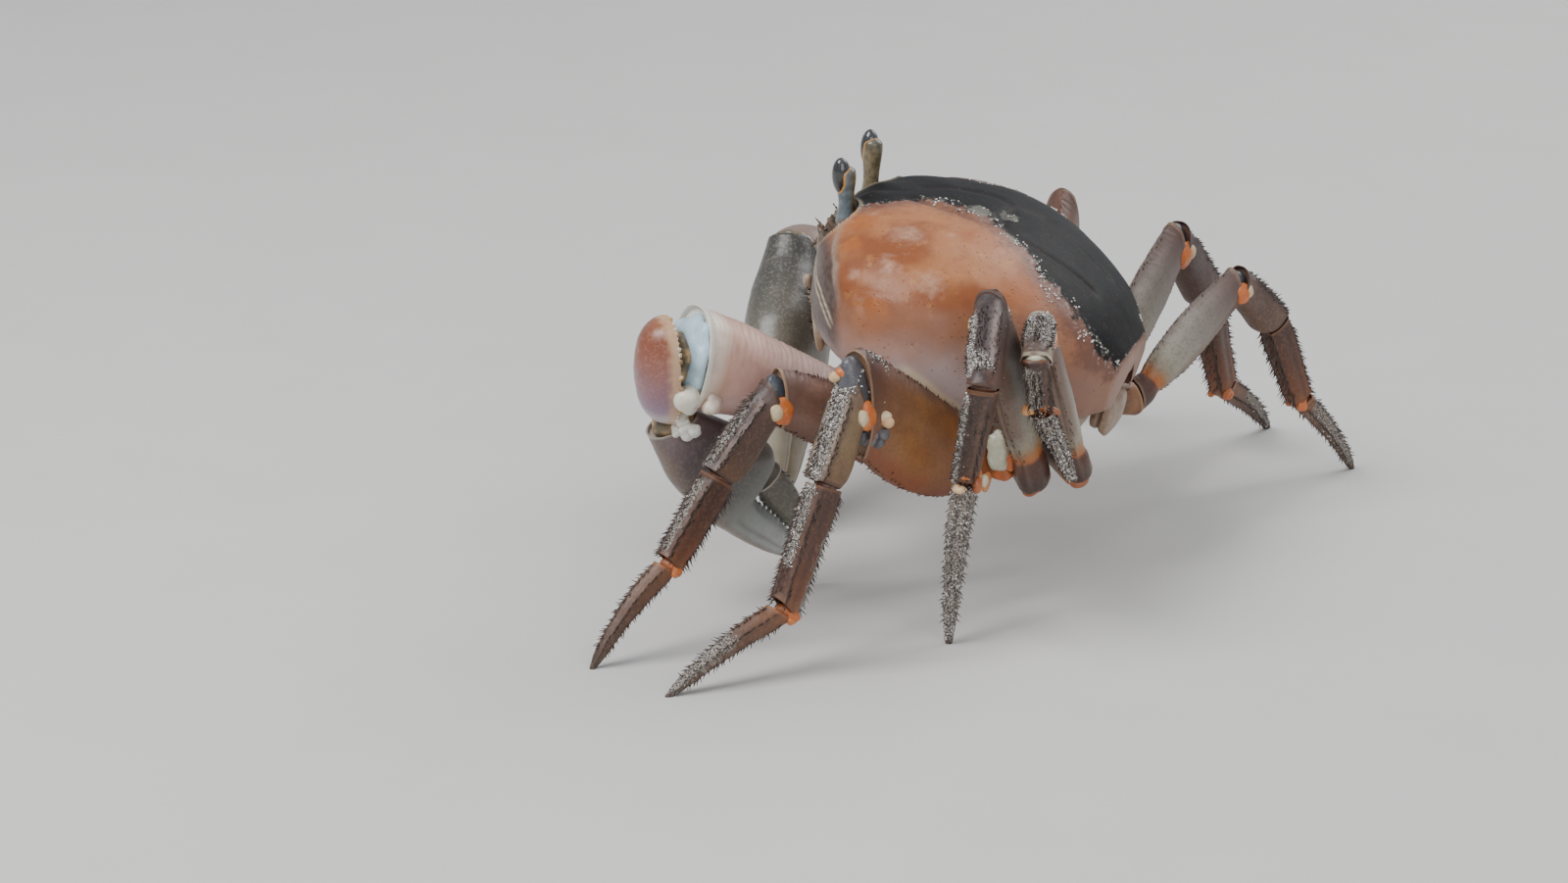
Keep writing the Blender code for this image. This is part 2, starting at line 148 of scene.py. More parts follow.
class Paint:
    # one Principled material: constant values go on the shader's own sockets
    def __init__(self, name, values):
        self.material = bpy.data.materials.new(name)
        self.material.use_nodes = True
        self.tree = self.material.node_tree
        self.shader = self.tree.nodes["Principled BSDF"]
        for socket, value in values.items():
            self.shader.inputs[socket].default_value = value

    def node(self, kind, settings, sockets, output=0):
        made = self.tree.nodes.new(kind)
        for key, value in settings.items():
            if key == "stops":
                ramp = made.color_ramp
                while len(ramp.elements) < len(value):
                    ramp.elements.new(1)
                for element, (place, colour) in zip(ramp.elements, value):
                    element.position = place
                    element.color = linear(colour)
            else:
                setattr(made, key, value)
        for key, value in sockets.items():
            self.put(made.inputs[key], value)
        return Wire(self, made.outputs[output])

    def put(self, socket, value):
        if isinstance(value, Wire):
            self.tree.links.new(value.socket, socket)
        elif socket.type == "RGBA":
            socket.default_value = linear(value)
        else:
            socket.default_value = value

    def maths(self, operation, *values):
        return self.node("ShaderNodeMath", {"operation": operation}, dict(enumerate(values)))

    def place(self):
        return self.node("ShaderNodeTexCoord", {}, {}, "Object")

    def height(self):
        return self.node("ShaderNodeSeparateXYZ", {}, {"Vector": self.place()}, "Z")

    def mark(self, name):
        return self.node("ShaderNodeAttribute", {"attribute_name": name}, {}, "Fac")

    def grain(self, size, detail=2.0, rough=0.5):    # noise with lumps of that many millimetres
        sockets = {"Vector": self.place(), "Scale": 1 / (size * millimetre), "Detail": detail,
                   "Roughness": rough}
        return self.node("ShaderNodeTexNoise", {}, sockets, "Fac")

    def cells(self, size, feature="F1"):
        sockets = {"Vector": self.place(), "Scale": 1 / (size * millimetre)}
        return self.node("ShaderNodeTexVoronoi", {"feature": feature}, sockets, "Distance")

    def rise(self, low, high, value):
        sockets = {"Value": value, "From Min": low, "From Max": high}
        return self.node("ShaderNodeMapRange", {"interpolation_type": "SMOOTHSTEP"}, sockets, "Result")

    def mix(self, share, first, second):
        return self.node("ShaderNodeMix", {"data_type": "RGBA"}, {0: share, 6: first, 7: second}, 2)

    def cover(self, colour, *coats):                 # coats of (share, colour), each over the last
        for share, coat in coats:
            colour = self.mix(share, colour, coat)
        return colour

    def ramp(self, stops, value):
        return self.node("ShaderNodeValToRGB", {"stops": stops}, {"Fac": value}, "Color")

    def finish(self, colour, rough=None, height=None, depth=0.1):
        self.put(self.shader.inputs["Base Color"], colour)
        if rough is not None:
            self.put(self.shader.inputs["Roughness"], rough)
        if height is not None:
            sockets = {"Height": height, "Distance": depth * millimetre, "Strength": 1.0}
            self.put(self.shader.inputs["Normal"], self.node("ShaderNodeBump", {}, sockets, "Normal"))
        return self.material


# making and finishing meshes
def layer(body, name):
    return body.verts.layers.float.get(name) or body.verts.layers.float.new(name)


def faceOut(body):
    bmesh.ops.recalc_face_normals(body, faces=body.faces)


def tube(around, along, ringAt, marks=()):
    # a sheet of squares rolled up; ringAt(share) gives a function from turn to (point, marks)
    body = bmesh.new()
    bmesh.ops.create_grid(body, x_segments=around, y_segments=along, size=0.5)
    layers = [layer(body, name) for name in marks]
    rings = {}
    for corner in body.verts:
        turn, share = round(corner.co.x + 0.5, 6), round(corner.co.y + 0.5, 6)
        if share not in rings:
            rings[share] = ringAt(share)
        point, values = rings[share](turn % 1)
        corner.co = point
        for kept, value in zip(layers, values):
            corner[kept] = value
    bmesh.ops.remove_doubles(body, verts=body.verts, dist=0.002)
    faceOut(body)
    return body


def trim(body, point, normal, lip=0.5, sink=0.9):
    # cut off what lies beyond a plane, leave a hollow end with a rounded rim, and return the rim
    edgeMark = layer(body, "lip")
    cut = bmesh.ops.bisect_plane(body, geom=body.verts[:] + body.edges[:] + body.faces[:], dist=1e-5,
                                 plane_co=point, plane_no=normal, clear_outer=True)
    rim = [item for item in cut["geom_cut"] if isinstance(item, bmesh.types.BMEdge)]
    corners = [edge.verts[0].co.copy() for edge in rim]
    if not rim:
        return corners
    middle = sum(corners, Vector()) / len(corners)
    # each following loop's step towards the middle, in lips, and outwards
    for inward, outward in ((0.15, 0.10 * lip), (0.35, 0.02 * lip), (0.5, -0.3 * lip), (0.3, -sink)):
        grown = bmesh.ops.extrude_edge_only(body, edges=rim)["geom"]
        rim = [item for item in grown if isinstance(item, bmesh.types.BMEdge)]
        for corner in {corner for edge in rim for corner in edge.verts}:
            corner.co += (middle - corner.co).normalized() * lip * inward + normal * outward
            corner[edgeMark] = 1.0
    cap = bmesh.ops.edgeloop_fill(body, edges=rim)["faces"]
    bmesh.ops.poke(body, faces=cap)
    faceOut(body)
    return corners


def flare(body, point, normal, axis, reach, height):
    # swell the last stretch before a cutting plane into a rim
    edgeMark = layer(body, "lip")
    for corner in body.verts:
        depth = (point - corner.co).dot(normal)
        if -3 * reach < depth < 3 * reach:
            share = hump(depth, 0.0, reach)
            corner[edgeMark] = max(corner[edgeMark], share)
            spoke = corner.co - point
            spoke -= axis * spoke.dot(axis)
            if spoke.length > 1e-6:
                corner.co += spoke.normalized() * height * share


def joined(bodies):
    whole = bmesh.new()
    for body in bodies:
        mesh = bpy.data.meshes.new("part")
        body.to_mesh(mesh)
        body.free()
        whole.from_mesh(mesh)
        bpy.data.meshes.remove(mesh)
    return whole


def linked(name, data):
    made = bpy.data.objects.new(name, data)
    bpy.context.scene.collection.objects.link(made)
    return made


def piece(name, body, material, slot, *nodes, crease=50):
    mesh = bpy.data.meshes.new(name)
    bmesh.ops.scale(body, vec=(millimetre,) * 3, verts=body.verts)
    body.to_mesh(mesh)
    body.free()
    mesh.materials.append(material)
    mesh.shade_smooth()
    mesh.set_sharp_from_angle(angle=math.radians(crease))
    made = linked(name, mesh)
    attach(made, "root")
    if nodes:
        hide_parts(*nodes)


# paints
def carapacePaint():
    paint = Paint("carapace_paint", {"Coat Weight": 0.06, "Coat Roughness": 0.3, "Specular IOR Level": 0.25})
    broad, small = paint.grain(17, 2, 0.5), paint.grain(4.5, 3, 0.6)
    ragged, fine = paint.grain(2.2, 4, 0.7), paint.grain(0.7, 2, 0.6)
    level = paint.height() + (broad - 0.5) * 0.012
    edge = paint.mark("saddle") + (small - 0.5) * 9 + (broad - 0.5) * 7 + (ragged - 0.5) * 5
    # pale blotches scattered by noise over the wall: painted highlights
    pale = paint.rise(0.55, 0.68, paint.grain(6, 4, 0.65)) * paint.rise(0.40, 0.6, paint.grain(23, 1, 0.5))
    # pale spots at the shell's listed pale places: painted highlights
    paintedHighlights = paint.rise(0.2, 1.3, paint.mark("pale") + (paint.grain(2.2, 4, 0.7) - 0.5) * 1.5)
    streaked = paint.mix(paint.rise(0.4, 0.6, paint.grain(1.6, 3, 0.6)), (60, 50, 47), (84, 72, 67))
    # the saddle's near-black: partly the back's own dark colour, partly painted shade
    dark = paint.mix(paint.rise(0.35, 0.65, small), (7, 7, 8), (16, 14, 13))
    dark = paint.mix(paint.rise(0.56, 0.72, ragged) * 0.4, dark, (44, 38, 34))
    crust = paint.rise(-3.5, -0.5, edge) * paint.rise(3.5, 0.5, edge)
    crust = crust * paint.rise(0.54, 0.62, paint.grain(1.3, 4, 0.7))
    hollow = paint.mix(paint.rise(0.35, 0.7, small), (70, 58, 50), (112, 94, 78))
    pores = paint.rise(0.30, 0.12, paint.cells(1.5)) * paint.rise(0.45, 0.6, small)
    wall = paint.cover(
        paint.mix(paint.rise(0.38, 0.60, broad), (136, 78, 46), (168, 110, 72)),
        (paint.rise(0.56, 0.70, small) * 0.45, (186, 130, 74)),
        (paint.rise(0.46, 0.34, small) * 0.35, (124, 70, 42)),
        (paint.rise(0.3, 0.8, paint.mark("warm") + (small - 0.5) * 0.6) * 0.6, (162, 92, 44)),
        (pale * 0.22, (212, 181, 166)),
        (paintedHighlights * 0.5, (206, 168, 146)),
        (paint.rise(0.080, 0.074, level) * 0.45, (154, 116, 96)),
        (paint.rise(0.066, 0.054, level) * 0.7, (136, 106, 92)),
        (paint.rise(0.074, 0.062, level) * paint.mark("flank") * 0.9, (192, 172, 170)),
        (paint.mark("front") * 0.92, streaked),
        (paint.rise(-9.0, -2.0, edge + (ragged - 0.5) * 8) * 0.8, (104, 70, 60)),
        # the dark saddle over the back, partly painted shade
        (paint.rise(-1.0, 1.2, edge), dark),
        (crust * 0.6, (176, 170, 160)),
        (paint.rise(0.3, 0.6, paint.mark("crumbs") + (ragged - 0.5) * 1.4) * 0.8, (112, 110, 100)),
        # pale colour along the front crest: painted highlight on the ridge
        (paint.mark("crest") * paint.rise(0.3, 0.65, small + 0.1) * 0.85, (150, 128, 112)),
        (paint.mark("brow"), (206, 192, 164)),
        (paint.mark("furrow") * paint.rise(-4, 0, edge) * 0.7, (40, 32, 30)),
        (paint.mark("lip") * 0.95, (222, 206, 178)),
        (paint.mark("socket"), hollow),
        (pores * 0.45, (89, 60, 44)))
    rough = 0.36 + (fine - 0.5) * 0.15 + paint.rise(-2.0, 2.0, edge) * 0.3
    return paint.finish(wall, rough, fine * 0.5 + small * 0.8 - pores * 0.7, 0.10)


def limbPaint(name, look):
    # the look's shades run along the piece, and its other colours lie over them
    paint = Paint(name, {"Coat Weight": look.get("coat", 0.12), "Coat Roughness": 0.32})
    along = paint.mark("along")
    mottle = paint.grain(look.get("mottle", 3.5), 3, 0.6)
    fine = paint.grain(0.55, 2, 0.6)
    colour = paint.ramp(look["shades"], along + (mottle - 0.5) * look.get("wander", 0.2))
    fade = look.get("fade", -1)
    begun = paint.rise(fade, fade + 0.12, along)
    edge = paint.mark("edge") + (mottle - 0.5) * 0.5
    if "top" in look:
        top = paint.rise(*look.get("topEdge", (0.2, 0.9)), edge) * begun
        colour = paint.mix(top * look.get("topShare", 0.8), colour, look["top"])
    if "under" in look:
        colour = paint.mix(paint.rise(-0.4, -0.95, edge) * begun * 0.8, colour, look["under"])
    stipple = paint.rise(0.52, 0.62, paint.grain(0.8, 1, 0.5)) * look.get("stipple", 0.25)
    colour = paint.cover(
        colour,
        (paint.rise(0.35, 0.75, mottle) * look.get("blotch", 0.35), look["spot"]),
        (stipple, look["speck"]),
        (paint.mark("ridge") * look.get("ridgeShare", 0.4), look.get("ridge", look["spot"])),
        (paint.rise(0.25, 0.8, paint.mark("lip")), look["lip"]))
    # a pale stripe along the flat faces: painted sheen
    if "stripe" in look:
        colour = paint.mix(paint.mark("stripe") * paint.rise(0.3, 0.6, mottle) * 0.8, colour, look["stripe"])
    rough = look.get("rough", 0.42) + (fine - 0.5) * 0.2
    height = fine * 0.6 + mottle * 0.5
    if look.get("dusty"):
        speckle = paint.grain(0.42, 2, 0.8)
        dust = paint.rise(0.25, 0.75, paint.mark("dust") * 1.1 + (paint.grain(1.6, 3, 0.7) - 0.5) * 1.3)
        crumb = paint.mix(paint.rise(0.42, 0.6, speckle), (58, 50, 48), (176, 168, 158))
        colour = paint.mix(dust * 0.85, colour, crumb)
        rough = rough + dust * 0.3
        height = height + dust * speckle * 3
    return paint.finish(colour, rough, height, 0.08)


def plainPaint(name, dark, light, size, rough, coat=0.1):
    paint = Paint(name, {"Coat Weight": coat})
    grain = paint.grain(size, 3, 0.6)
    colour = paint.mix(paint.rise(0.3, 0.7, grain), dark, light)
    return paint.finish(colour, rough + (grain - 0.5) * 0.15, grain, 0.05)


jointLooks = {
    # colours by a swelling's tone, and the size of the patches in which the tone wanders
    "leg": dict(coat=0.25, soft=0.05, fine=0.5, broad=2, patches=2.2,
                wander=lambda paint, patches: (patches - 0.5) * 0.14, stops=(
        (0.0, (36, 38, 42)), (0.14, (62, 70, 78)), (0.30, (108, 100, 100)), (0.42, (132, 84, 56)),
        (0.56, (204, 104, 44)), (0.66, (214, 148, 88)), (0.76, (214, 190, 150)), (0.84, (218, 208, 184)),
        (0.93, (184, 182, 158)), (1.0, (216, 216, 206)))),
    "claw": dict(coat=0.2, soft=0.06, fine=0.6, broad=2.5, patches=4,
                 wander=lambda paint, patches: paint.rise(0.45, 0.75, patches) * 0.12, stops=(
        # the dark stop at 0.42, for the ball in the open elbow and the wrist skin, is partly painted shade of
        # those gaps
        (0.0, (184, 208, 220)), (0.2, (150, 178, 192)), (0.42, (98, 88, 70)), (0.6, (214, 170, 110)),
        (0.7, (196, 174, 160)), (0.8, (226, 214, 192)), (1.0, (232, 230, 224)))),
}


def jointPaint(name, look):
    paint = Paint(name, {"Coat Weight": look["coat"], "Coat Roughness": 0.25,
                         "Subsurface Weight": look["soft"]})
    patches = paint.grain(look["patches"], 2)
    tone = paint.mark("tone") + look["wander"](paint, patches)
    fine = paint.grain(look["fine"], 2)
    height = fine + paint.grain(look["broad"], 2) * 2
    return paint.finish(paint.ramp(look["stops"], tone), 0.36 + (fine - 0.5) * 0.2, height, 0.12)


def sandPaint():
    paint = Paint("sand_paint", {"Specular IOR Level": 0.4})
    stops = ((0.0, (63, 60, 60)), (0.16, (111, 106, 103)), (0.35, (162, 155, 147)),
             (0.62, (197, 192, 184)), (1.0, (237, 235, 231)))
    return paint.finish(paint.ramp(stops, paint.mark("tone")), 0.55 + (paint.grain(0.3) - 0.5) * 0.3)


# carapace
shell = {
    # place along the body, half width, top, widest level, level and half width of the lower rim
    "sections": ((-40, 14, 13, 8, 3, 10), (-37, 25, 18, 8, -4, 18), (-32, 35, 21.5, 7, -9, 25),
                 (-24, 43, 24, 5.5, -12, 31), (-12, 49, 26.5, 4, -14.5, 35), (0, 50, 27, 3, -16.5, 36),
                 (15, 45, 24, 1, -17, 34), (28, 36, 18.5, 0, -15, 28), (36, 28, 13.5, -1, -13, 21),
                 (43, 18, 6, -3, -10, 14)),
    "rimWidth": 4, "rimDepth": 5, "rimThickness": 0.6,
    "upper": (0.85, 0.9), "lower": (0.8, 0.95),    # powers that round the upper and lower half
    "parts": (0.56, 0.84, 0.92),                    # of the way round: widest level, lower rim, inside
    "dome": 1.4, "domeShare": 0.03,
    "around": 260, "along": 150,
    # left border of the dark saddle (partly painted shade): place along the body, distance from the middle
    "saddle": ((-40, 18), (-34, 16.5), (-26, 10.6), (-17, 4.5), (-2.5, 8), (10, 13), (21.5, 20.6), (43, 22)),
    # the dark reaching further on the right is partly painted shade of the far side
    "saddleShift": 20,                              # how much further it reaches on the right
    # grooves seen from above on one side: corners, depth, width
    "furrows": ((((0, 2.5), (8, 3), (10.5, -4), (10, -14), (6, -21)), 0.75, 1.3),
                (((8, 3), (11.5, 10), (9, 20), (8, 31)), 0.7, 1.4),
                (((10, -12), (22, -18), (33, -24)), 0.22, 1.8),
                (((0, -38), (0, -25)), 0.5, 1.2)),
    # the crest along this ridge is also painted with a highlight
    "frontRidge": ((24, 17.5), (28, 16), (36.9, 12), (41.7, 6.7), (43.8, 0.3), (43, -6)),   # seen from ahead
    # thin pale lines below the orbit, seen from ahead, and the edge of the dark front: level, place along
    "brows": (((20, 9.5), (22.1, 7), (26, 4.4), (31, 2.9), (35, 1.6), (38.5, -0.6), (40.8, -2.9)),
              ((23, 9.5), (25.5, 6.6), (30, 5), (35.5, 3.6), (39.5, 1.0), (41.6, -1.6))),
    "frontEdge": ((-16, -21), (-6, -22), (0, -23.2), (5.4, -24.7), (12.7, -27.7), (18.8, -32.1), (26, -40)),
    # pale areas (painted highlights) and warm areas of the wall: point, reach; crumbs of sand on the back:
    # place, reach
    "pale": (((42.5, -3.6, 17.1), 4.6), ((28.8, -15.3, 22.5), 5.4), ((40.6, -15.2, 17), 2.8),
             ((41, -22.9, 12.6), 2.4)),
    "warm": (((24.3, -28, 20.2), 5), ((48.1, -13.7, 5.8), 6), ((29.9, 17.8, 18.1), 8), ((21.6, 1.8, 25.1), 6),
             ((33, -27.6, 17), 3.5)),
    "crumbs": ((5.5, -3.3, 3.4), (0.4, 3.3, 2.8), (12.5, 8, 2.2)),
    # pale line above the lower rim: place along, share of the way round
    "rimLine": ((-40, 0.78), (-12, 0.69), (-4, 0.634), (1, 0.638), (4.9, 0.652), (8.1, 0.670), (11.3, 0.684),
                (18, 0.74), (26, 0.80), (43, 0.84)),
    "sideLine": 82,                                 # level over the floor of the fine line along the wall
    "grains": 1500,                                 # of sand along the saddle's border
}
orbit = {
    "centre": (14, -35.8, 14), "half": (10, 7.2, 7.2), "turn": 18,
    "outward": (0.22, -0.62, 0.75), "rim": 0.55,
}


def shellSection(place):
    halfWidth, top, widest, rim, rimHalf = between(shell["sections"], place)
    first, second, third = shell["parts"]
    width = shell["rimWidth"]

    def corner(turn):
        side = 1 if turn < 0.5 else -1
        way = 2 * min(turn, 1 - turn)
        lip = min(hump(way, between(shell["rimLine"], place)[0] - 0.006, 0.012) * 1.5, 1)
        lip *= rise(-6, -1, place) * rise(36, 30, place)
        if way < first:
            angle = math.pi / 2 * (1 - way / first)
            x = halfWidth * max(math.cos(angle), 0) ** shell["upper"][0]
            z = widest + (top - widest) * math.sin(angle) ** shell["upper"][1]
        elif way < second:
            angle = math.pi / 2 * (way - first) / (second - first)
            x = rimHalf + (halfWidth - rimHalf) * max(math.cos(angle), 0) ** shell["lower"][0]
            z = widest - (widest - rim) * math.sin(angle) ** shell["lower"][1]
        elif way < third:
            angle = math.pi * (way - second) / (third - second)
            x = rimHalf - width / 2 + width / 2 * math.cos(angle)
            z = rim - shell["rimThickness"] * math.sin(angle)
        else:
            share = (way - third) / (1 - third)
            x = (rimHalf - width) * (1 - rise(0.25, 1, share))
            z = rim + shell["rimDepth"] * rise(0, 0.4, share)
        return Vector((side * x, place, z)), (lip,)
    return corner


def shellRing(share):
    first, last = shell["sections"][0][0], shell["sections"][-1][0]
    cap = shell["domeShare"]
    main = min(max((share - cap) / (1 - 2 * cap), 0), 1)
    place = first + (last - first) * 0.5 * (1 - math.cos(math.pi * main))
    section = shellSection(place)
    closing = min(share / cap, (1 - share) / cap, 1.0)
    if closing >= 1:
        return section
    bulge = shell["dome"] * math.sqrt(1 - closing ** 2) * (-1 if share < 0.5 else 1)
    middle = (section(0.0)[0] + section(0.5)[0]) / 2

    def corner(turn):
        point, marks = section(turn)
        point = middle.lerp(point, closing)
        point.y += bulge
        return point, marks
    return corner


def shellRelief(point, normal):
    # how far a point of the plain shell moves out, and its marks
    x, y, z = point
    upper = rise(0.15, 0.5, normal.z)
    outer = rise(-0.35, 0.1, normal.z + abs(normal.x))
    wander = 1.6 * lump((x, y, 4), 9)
    furrow = max(depth * hump(distanceTo(path, abs(x) + wander, y + wander), 0, width)
                 for path, depth, width in shell["furrows"]) * upper if z > 8 else 0.0
    bumps = 0.8 * hump(abs(x), 5.5, 3.6) * hump(y, -31.5, 3.5) + 0.5 * hump(abs(x), 19, 5) * hump(y, -26, 6)
    apart = distanceTo(shell["frontRidge"], abs(x), z) + 0.25 * lump(point, 4)
    crest = hump(apart, 0, 0.6) * rise(-17, -20, y) * rise(1, 7, z)
    brow = max(hump(distanceTo(path, abs(x), z), 0, 0.32) for path in shell["brows"])
    brow *= rise(-24, -27, y) * rise(10, 6, z)
    level = onBody(point).z
    line = hump(level, shell["sideLine"], 0.4) * rise(32, 36, abs(x)) * rise(16, 8, y) * rise(-27, -22, y)
    lumps = 0.30 * lump(point, 13) + 0.10 * lump(point, 4)
    lift = (bumps - furrow) * upper + 0.4 * crest + 0.25 * brow - 0.08 * line + lumps * outer
    border = between(shell["saddle"], y)[0]
    saddle = min(border - x, x + border + shell["saddleShift"], 24 * (normal.z - 0.42))
    ahead = between(shell["frontEdge"], z)[0] - y
    front = rise(-1.4, 2.4, ahead + 1.2 * lump(point, 5)) * rise(18, 11, z) * rise(-12, -4, z)
    spot = Vector((abs(x), y, z))
    # pale: nearness to the places of the painted highlights
    pale, warm = (max(hump((spot - Vector(middle)).length, 0, reach) for middle, reach in shell[word])
                  for word in ("pale", "warm"))
    crumbs = max(hump(math.hypot(x - across, y - along), 0, reach)
                 for across, along, reach in shell["crumbs"])
    return lift, {"furrow": furrow, "crest": crest, "saddle": saddle, "front": front, "brow": brow,
                  "pale": pale, "warm": warm, "crumbs": crumbs * upper, "flank": rise(31, 12, y)}


def carveOrbit(body, side):
    middle = onBody(mirrored(side, orbit["centre"]))
    turn = Matrix.Rotation(math.radians(orbit["turn"] * side), 3, "Z")
    back = turn.transposed()
    half = Vector(orbit["half"])
    out = back @ mirrored(side, orbit["outward"]).normalized()
    way = Vector([value / size for value, size in zip(out, half)])
    stretch = way.length
    way.normalize()
    lipMark, socketMark = layer(body, "lip"), layer(body, "socket")
    for corner in body.verts:
        local = back @ (corner.co - middle)
        unit = Vector([value / size for value, size in zip(local, half)])
        depth = unit.dot(way)
        spread = (unit - way * depth).length
        if depth < -1.2 or spread > 1.7 or corner.normal.dot(turn @ out) < -0.2:
            continue
        ring = hump(spread, 1.06, 0.075)
        if spread < 1:
            floor = -math.sqrt(1 - spread ** 2)
            if depth > floor:
                corner.co += turn @ out * ((floor - depth) / stretch)
                corner[socketMark] = rise(1.0, 0.75, spread)
        corner.co += corner.normal * orbit["rim"] * ring
        corner[lipMark] = max(corner[lipMark], ring * 0.28)


def makeCarapace():
    body = tube(shell["around"], shell["along"], shellRing, ("lip",))
    body.normal_update()
    reliefs = [shellRelief(corner.co, corner.normal) for corner in body.verts]
    layers = {name: layer(body, name) for name in reliefs[0][1]}
    for corner, (lift, marks) in zip(body.verts, reliefs):
        corner.co += corner.normal * lift
        for name, value in marks.items():
            corner[layers[name]] = value
    bmesh.ops.transform(body, matrix=bodyMatrix, verts=body.verts)
    body.normal_update()
    for side in (1, -1):
        carveOrbit(body, side)
    saddleMark, crumbMark = layer(body, "saddle"), layer(body, "crumbs")
    spots = [(corner.co.copy(), corner.normal.copy()) for corner in body.verts if corner.normal.z > 0.3
             and (-2.5 < corner[saddleMark] + 5 * lump(corner.co, 6) < 2.0 or corner[crumbMark] > 0.4)]
    piece("carapace_shell", body, carapacePaint(), "carapace", "carapace", crease=80)
    return spots


shellSpots = makeCarapace()
print("carapace made")


# pieces of a limb
def limbPart(start, end, side, shape, breadth=1.0, bow=0.0):
    along = (end - start).normalized()
    broad = side.cross(along).normalized()
    return {"dust": (), "stripes": (), **shape, "start": start, "end": end, "length": (end - start).length,
            "along": along, "broad": broad, "thin": along.cross(broad), "breadth": breadth, "bow": bow}


def turnOff(degrees, at):
    return (degrees - at + 180) % 360 - 180


def skinAt(part, share, degrees):
    # a point of the surface, the way out of it, and how far up a ridge it lies
    halfBreadth, halfThickness, *shift = between(part["profile"], share)
    angle = math.radians(degrees)
    across = power(math.cos(angle), part["powers"][0]) * halfBreadth * part["breadth"]
    through = power(math.sin(angle), part["powers"][1]) * halfThickness * (0.5 + part["breadth"] / 2)
    spoke = part["broad"] * across + part["thin"] * through
    middle = part["start"].lerp(part["end"], share)
    middle += part["broad"] * (part["bow"] * 4 * share * (1 - share) + sum(shift))
    point = middle + spoke
    lift = part.get("rough", 0.16) * lump(point, 6) + 0.06 * lump(point, 1.9)
    ridge = 0.0
    for at, height, width, first, last in part["ridges"]:
        near = hump(turnOff(degrees, at), 0, width) * within(first, last, share)
        lift += height * near
        ridge = max(ridge, near)
    if "rugae" in part:
        depth, spacing, at, width = part["rugae"]
        wave = math.sin(math.tau * (share * part["length"] + 1.5 * lump(point, 5)) / spacing)
        lift += depth * wave * hump(turnOff(degrees, at), 0, width)
    if "teeth" in part:
        at, first, last, count, height = part["teeth"]
        step = (share - first) / (last - first) * count
        size = height * (0.65 + 0.5 * noise.noise(Vector((math.floor(step) * 1.7, 3.1, 0.4))))
        lift += size * abs(math.sin(math.pi * step)) ** 0.8 * hump(turnOff(degrees, at), 0, 15) \
            * within(first, last, share, 0.02)
    out = spoke.normalized()
    return point + out * lift, out, ridge


def limbBody(part):
    first, last = part["profile"][0][0], part["profile"][-1][0]
    cap = part.get("cap", 0.05)

    def ringAt(way):
        share = first + (last - first) * way
        closing = closingAt(way, cap)
        front, back = skinAt(part, share, 0)[0], skinAt(part, share, 180)[0]
        middle, half = (front + back) / 2, (front - back).length / 2

        def corner(turn):
            degrees = turn * 360
            point, _, ridge = skinAt(part, share, degrees)
            edge = (point - middle).dot(part["broad"]) / half
            dust = max((hump(turnOff(degrees, at), 0, spread * 1.7) * within(first, last, share, 0.1)
                        for at, spread, first, last, _, _ in part["dust"]), default=0.0)
            # where the painted sheen stripes run along the piece
            stripe = max((hump(turnOff(degrees, at), 0, width) * within(0.05, 0.92, share, 0.12)
                          for at, width in part["stripes"]), default=0.0)
            return middle.lerp(point, closing), (share, edge, ridge, dust, stripe)
        return corner
    return tube(part["around"], part["rings"], ringAt, ("along", "edge", "ridge", "dust", "stripe"))


def openEnd(body, part, pivot, normal, rim=(0.8, 0.3)):
    flare(body, pivot, normal, part["along"], *rim)
    trim(body, pivot, normal, part.get("edge", 0.45), 1.0)


def ball(body, centre, first, second, third, tone, detail=3, rough=0.22):
    # an ellipsoid with those half axes
    toneMark = layer(body, "tone")
    matrix = Matrix((first, second, third)).transposed().to_4x4()
    matrix.translation = centre
    made = bmesh.ops.create_icosphere(body, subdivisions=detail, radius=1, matrix=matrix)["verts"]
    size = min(first.length, second.length, third.length)
    for corner in made:
        corner[toneMark] = tone
        corner.co += (corner.co - matrix.translation) * rough * lump(corner.co, 1.3 * size)
    return made


# bristles and sand grains that sit on the limb pieces
growth = {
    "bristles": {"left": [], "right": []}, "sand": {"left": [], "right": []},
    "cells": 9, "patch": 0.0015, "edge": 0.04,      # of the map: rows of cells, reach of a patch, border
    "hair": (0.26, 0.04), "sunk": 0.35,             # a bristle's radius at root and tip, depth of its root
    "bare": -0.2,                                   # noise below which no sand sticks
}


def growthBody():                # an empty mesh with the map that holds each root's place
    body = bmesh.new()
    body.loops.layers.uv.new("OFBake")
    return body


def patch(body, made, cell, degrees, share):
    # the item's faces take a small spot of the map, where its root lies on the limb's own unwrap
    sheet = body.loops.layers.uv["OFBake"]
    cells, edge = growth["cells"], growth["edge"]
    across = (cell % cells + edge + (1 - 2 * edge) * (degrees % 360) / 360) / cells
    upward = (cell // cells + edge + (1 - 2 * edge) * min(max(share, 0), 1)) / cells
    for i, corner in enumerate(made):
        spread = Matrix.Rotation(2.4 * i, 2) @ Vector((growth["patch"], 0))
        for loop in corner.link_loops:
            loop[sheet].uv = Vector((across, upward)) + spread


def hair(body, root, way, size, thick, thin):
    matrix = way.to_track_quat("Z", "Y").to_matrix().to_4x4()
    matrix.translation = root + way * size / 2
    return bmesh.ops.create_cone(body, segments=3, cap_ends=True, radius1=thick, radius2=thin, depth=size,
                                 matrix=matrix)["verts"]


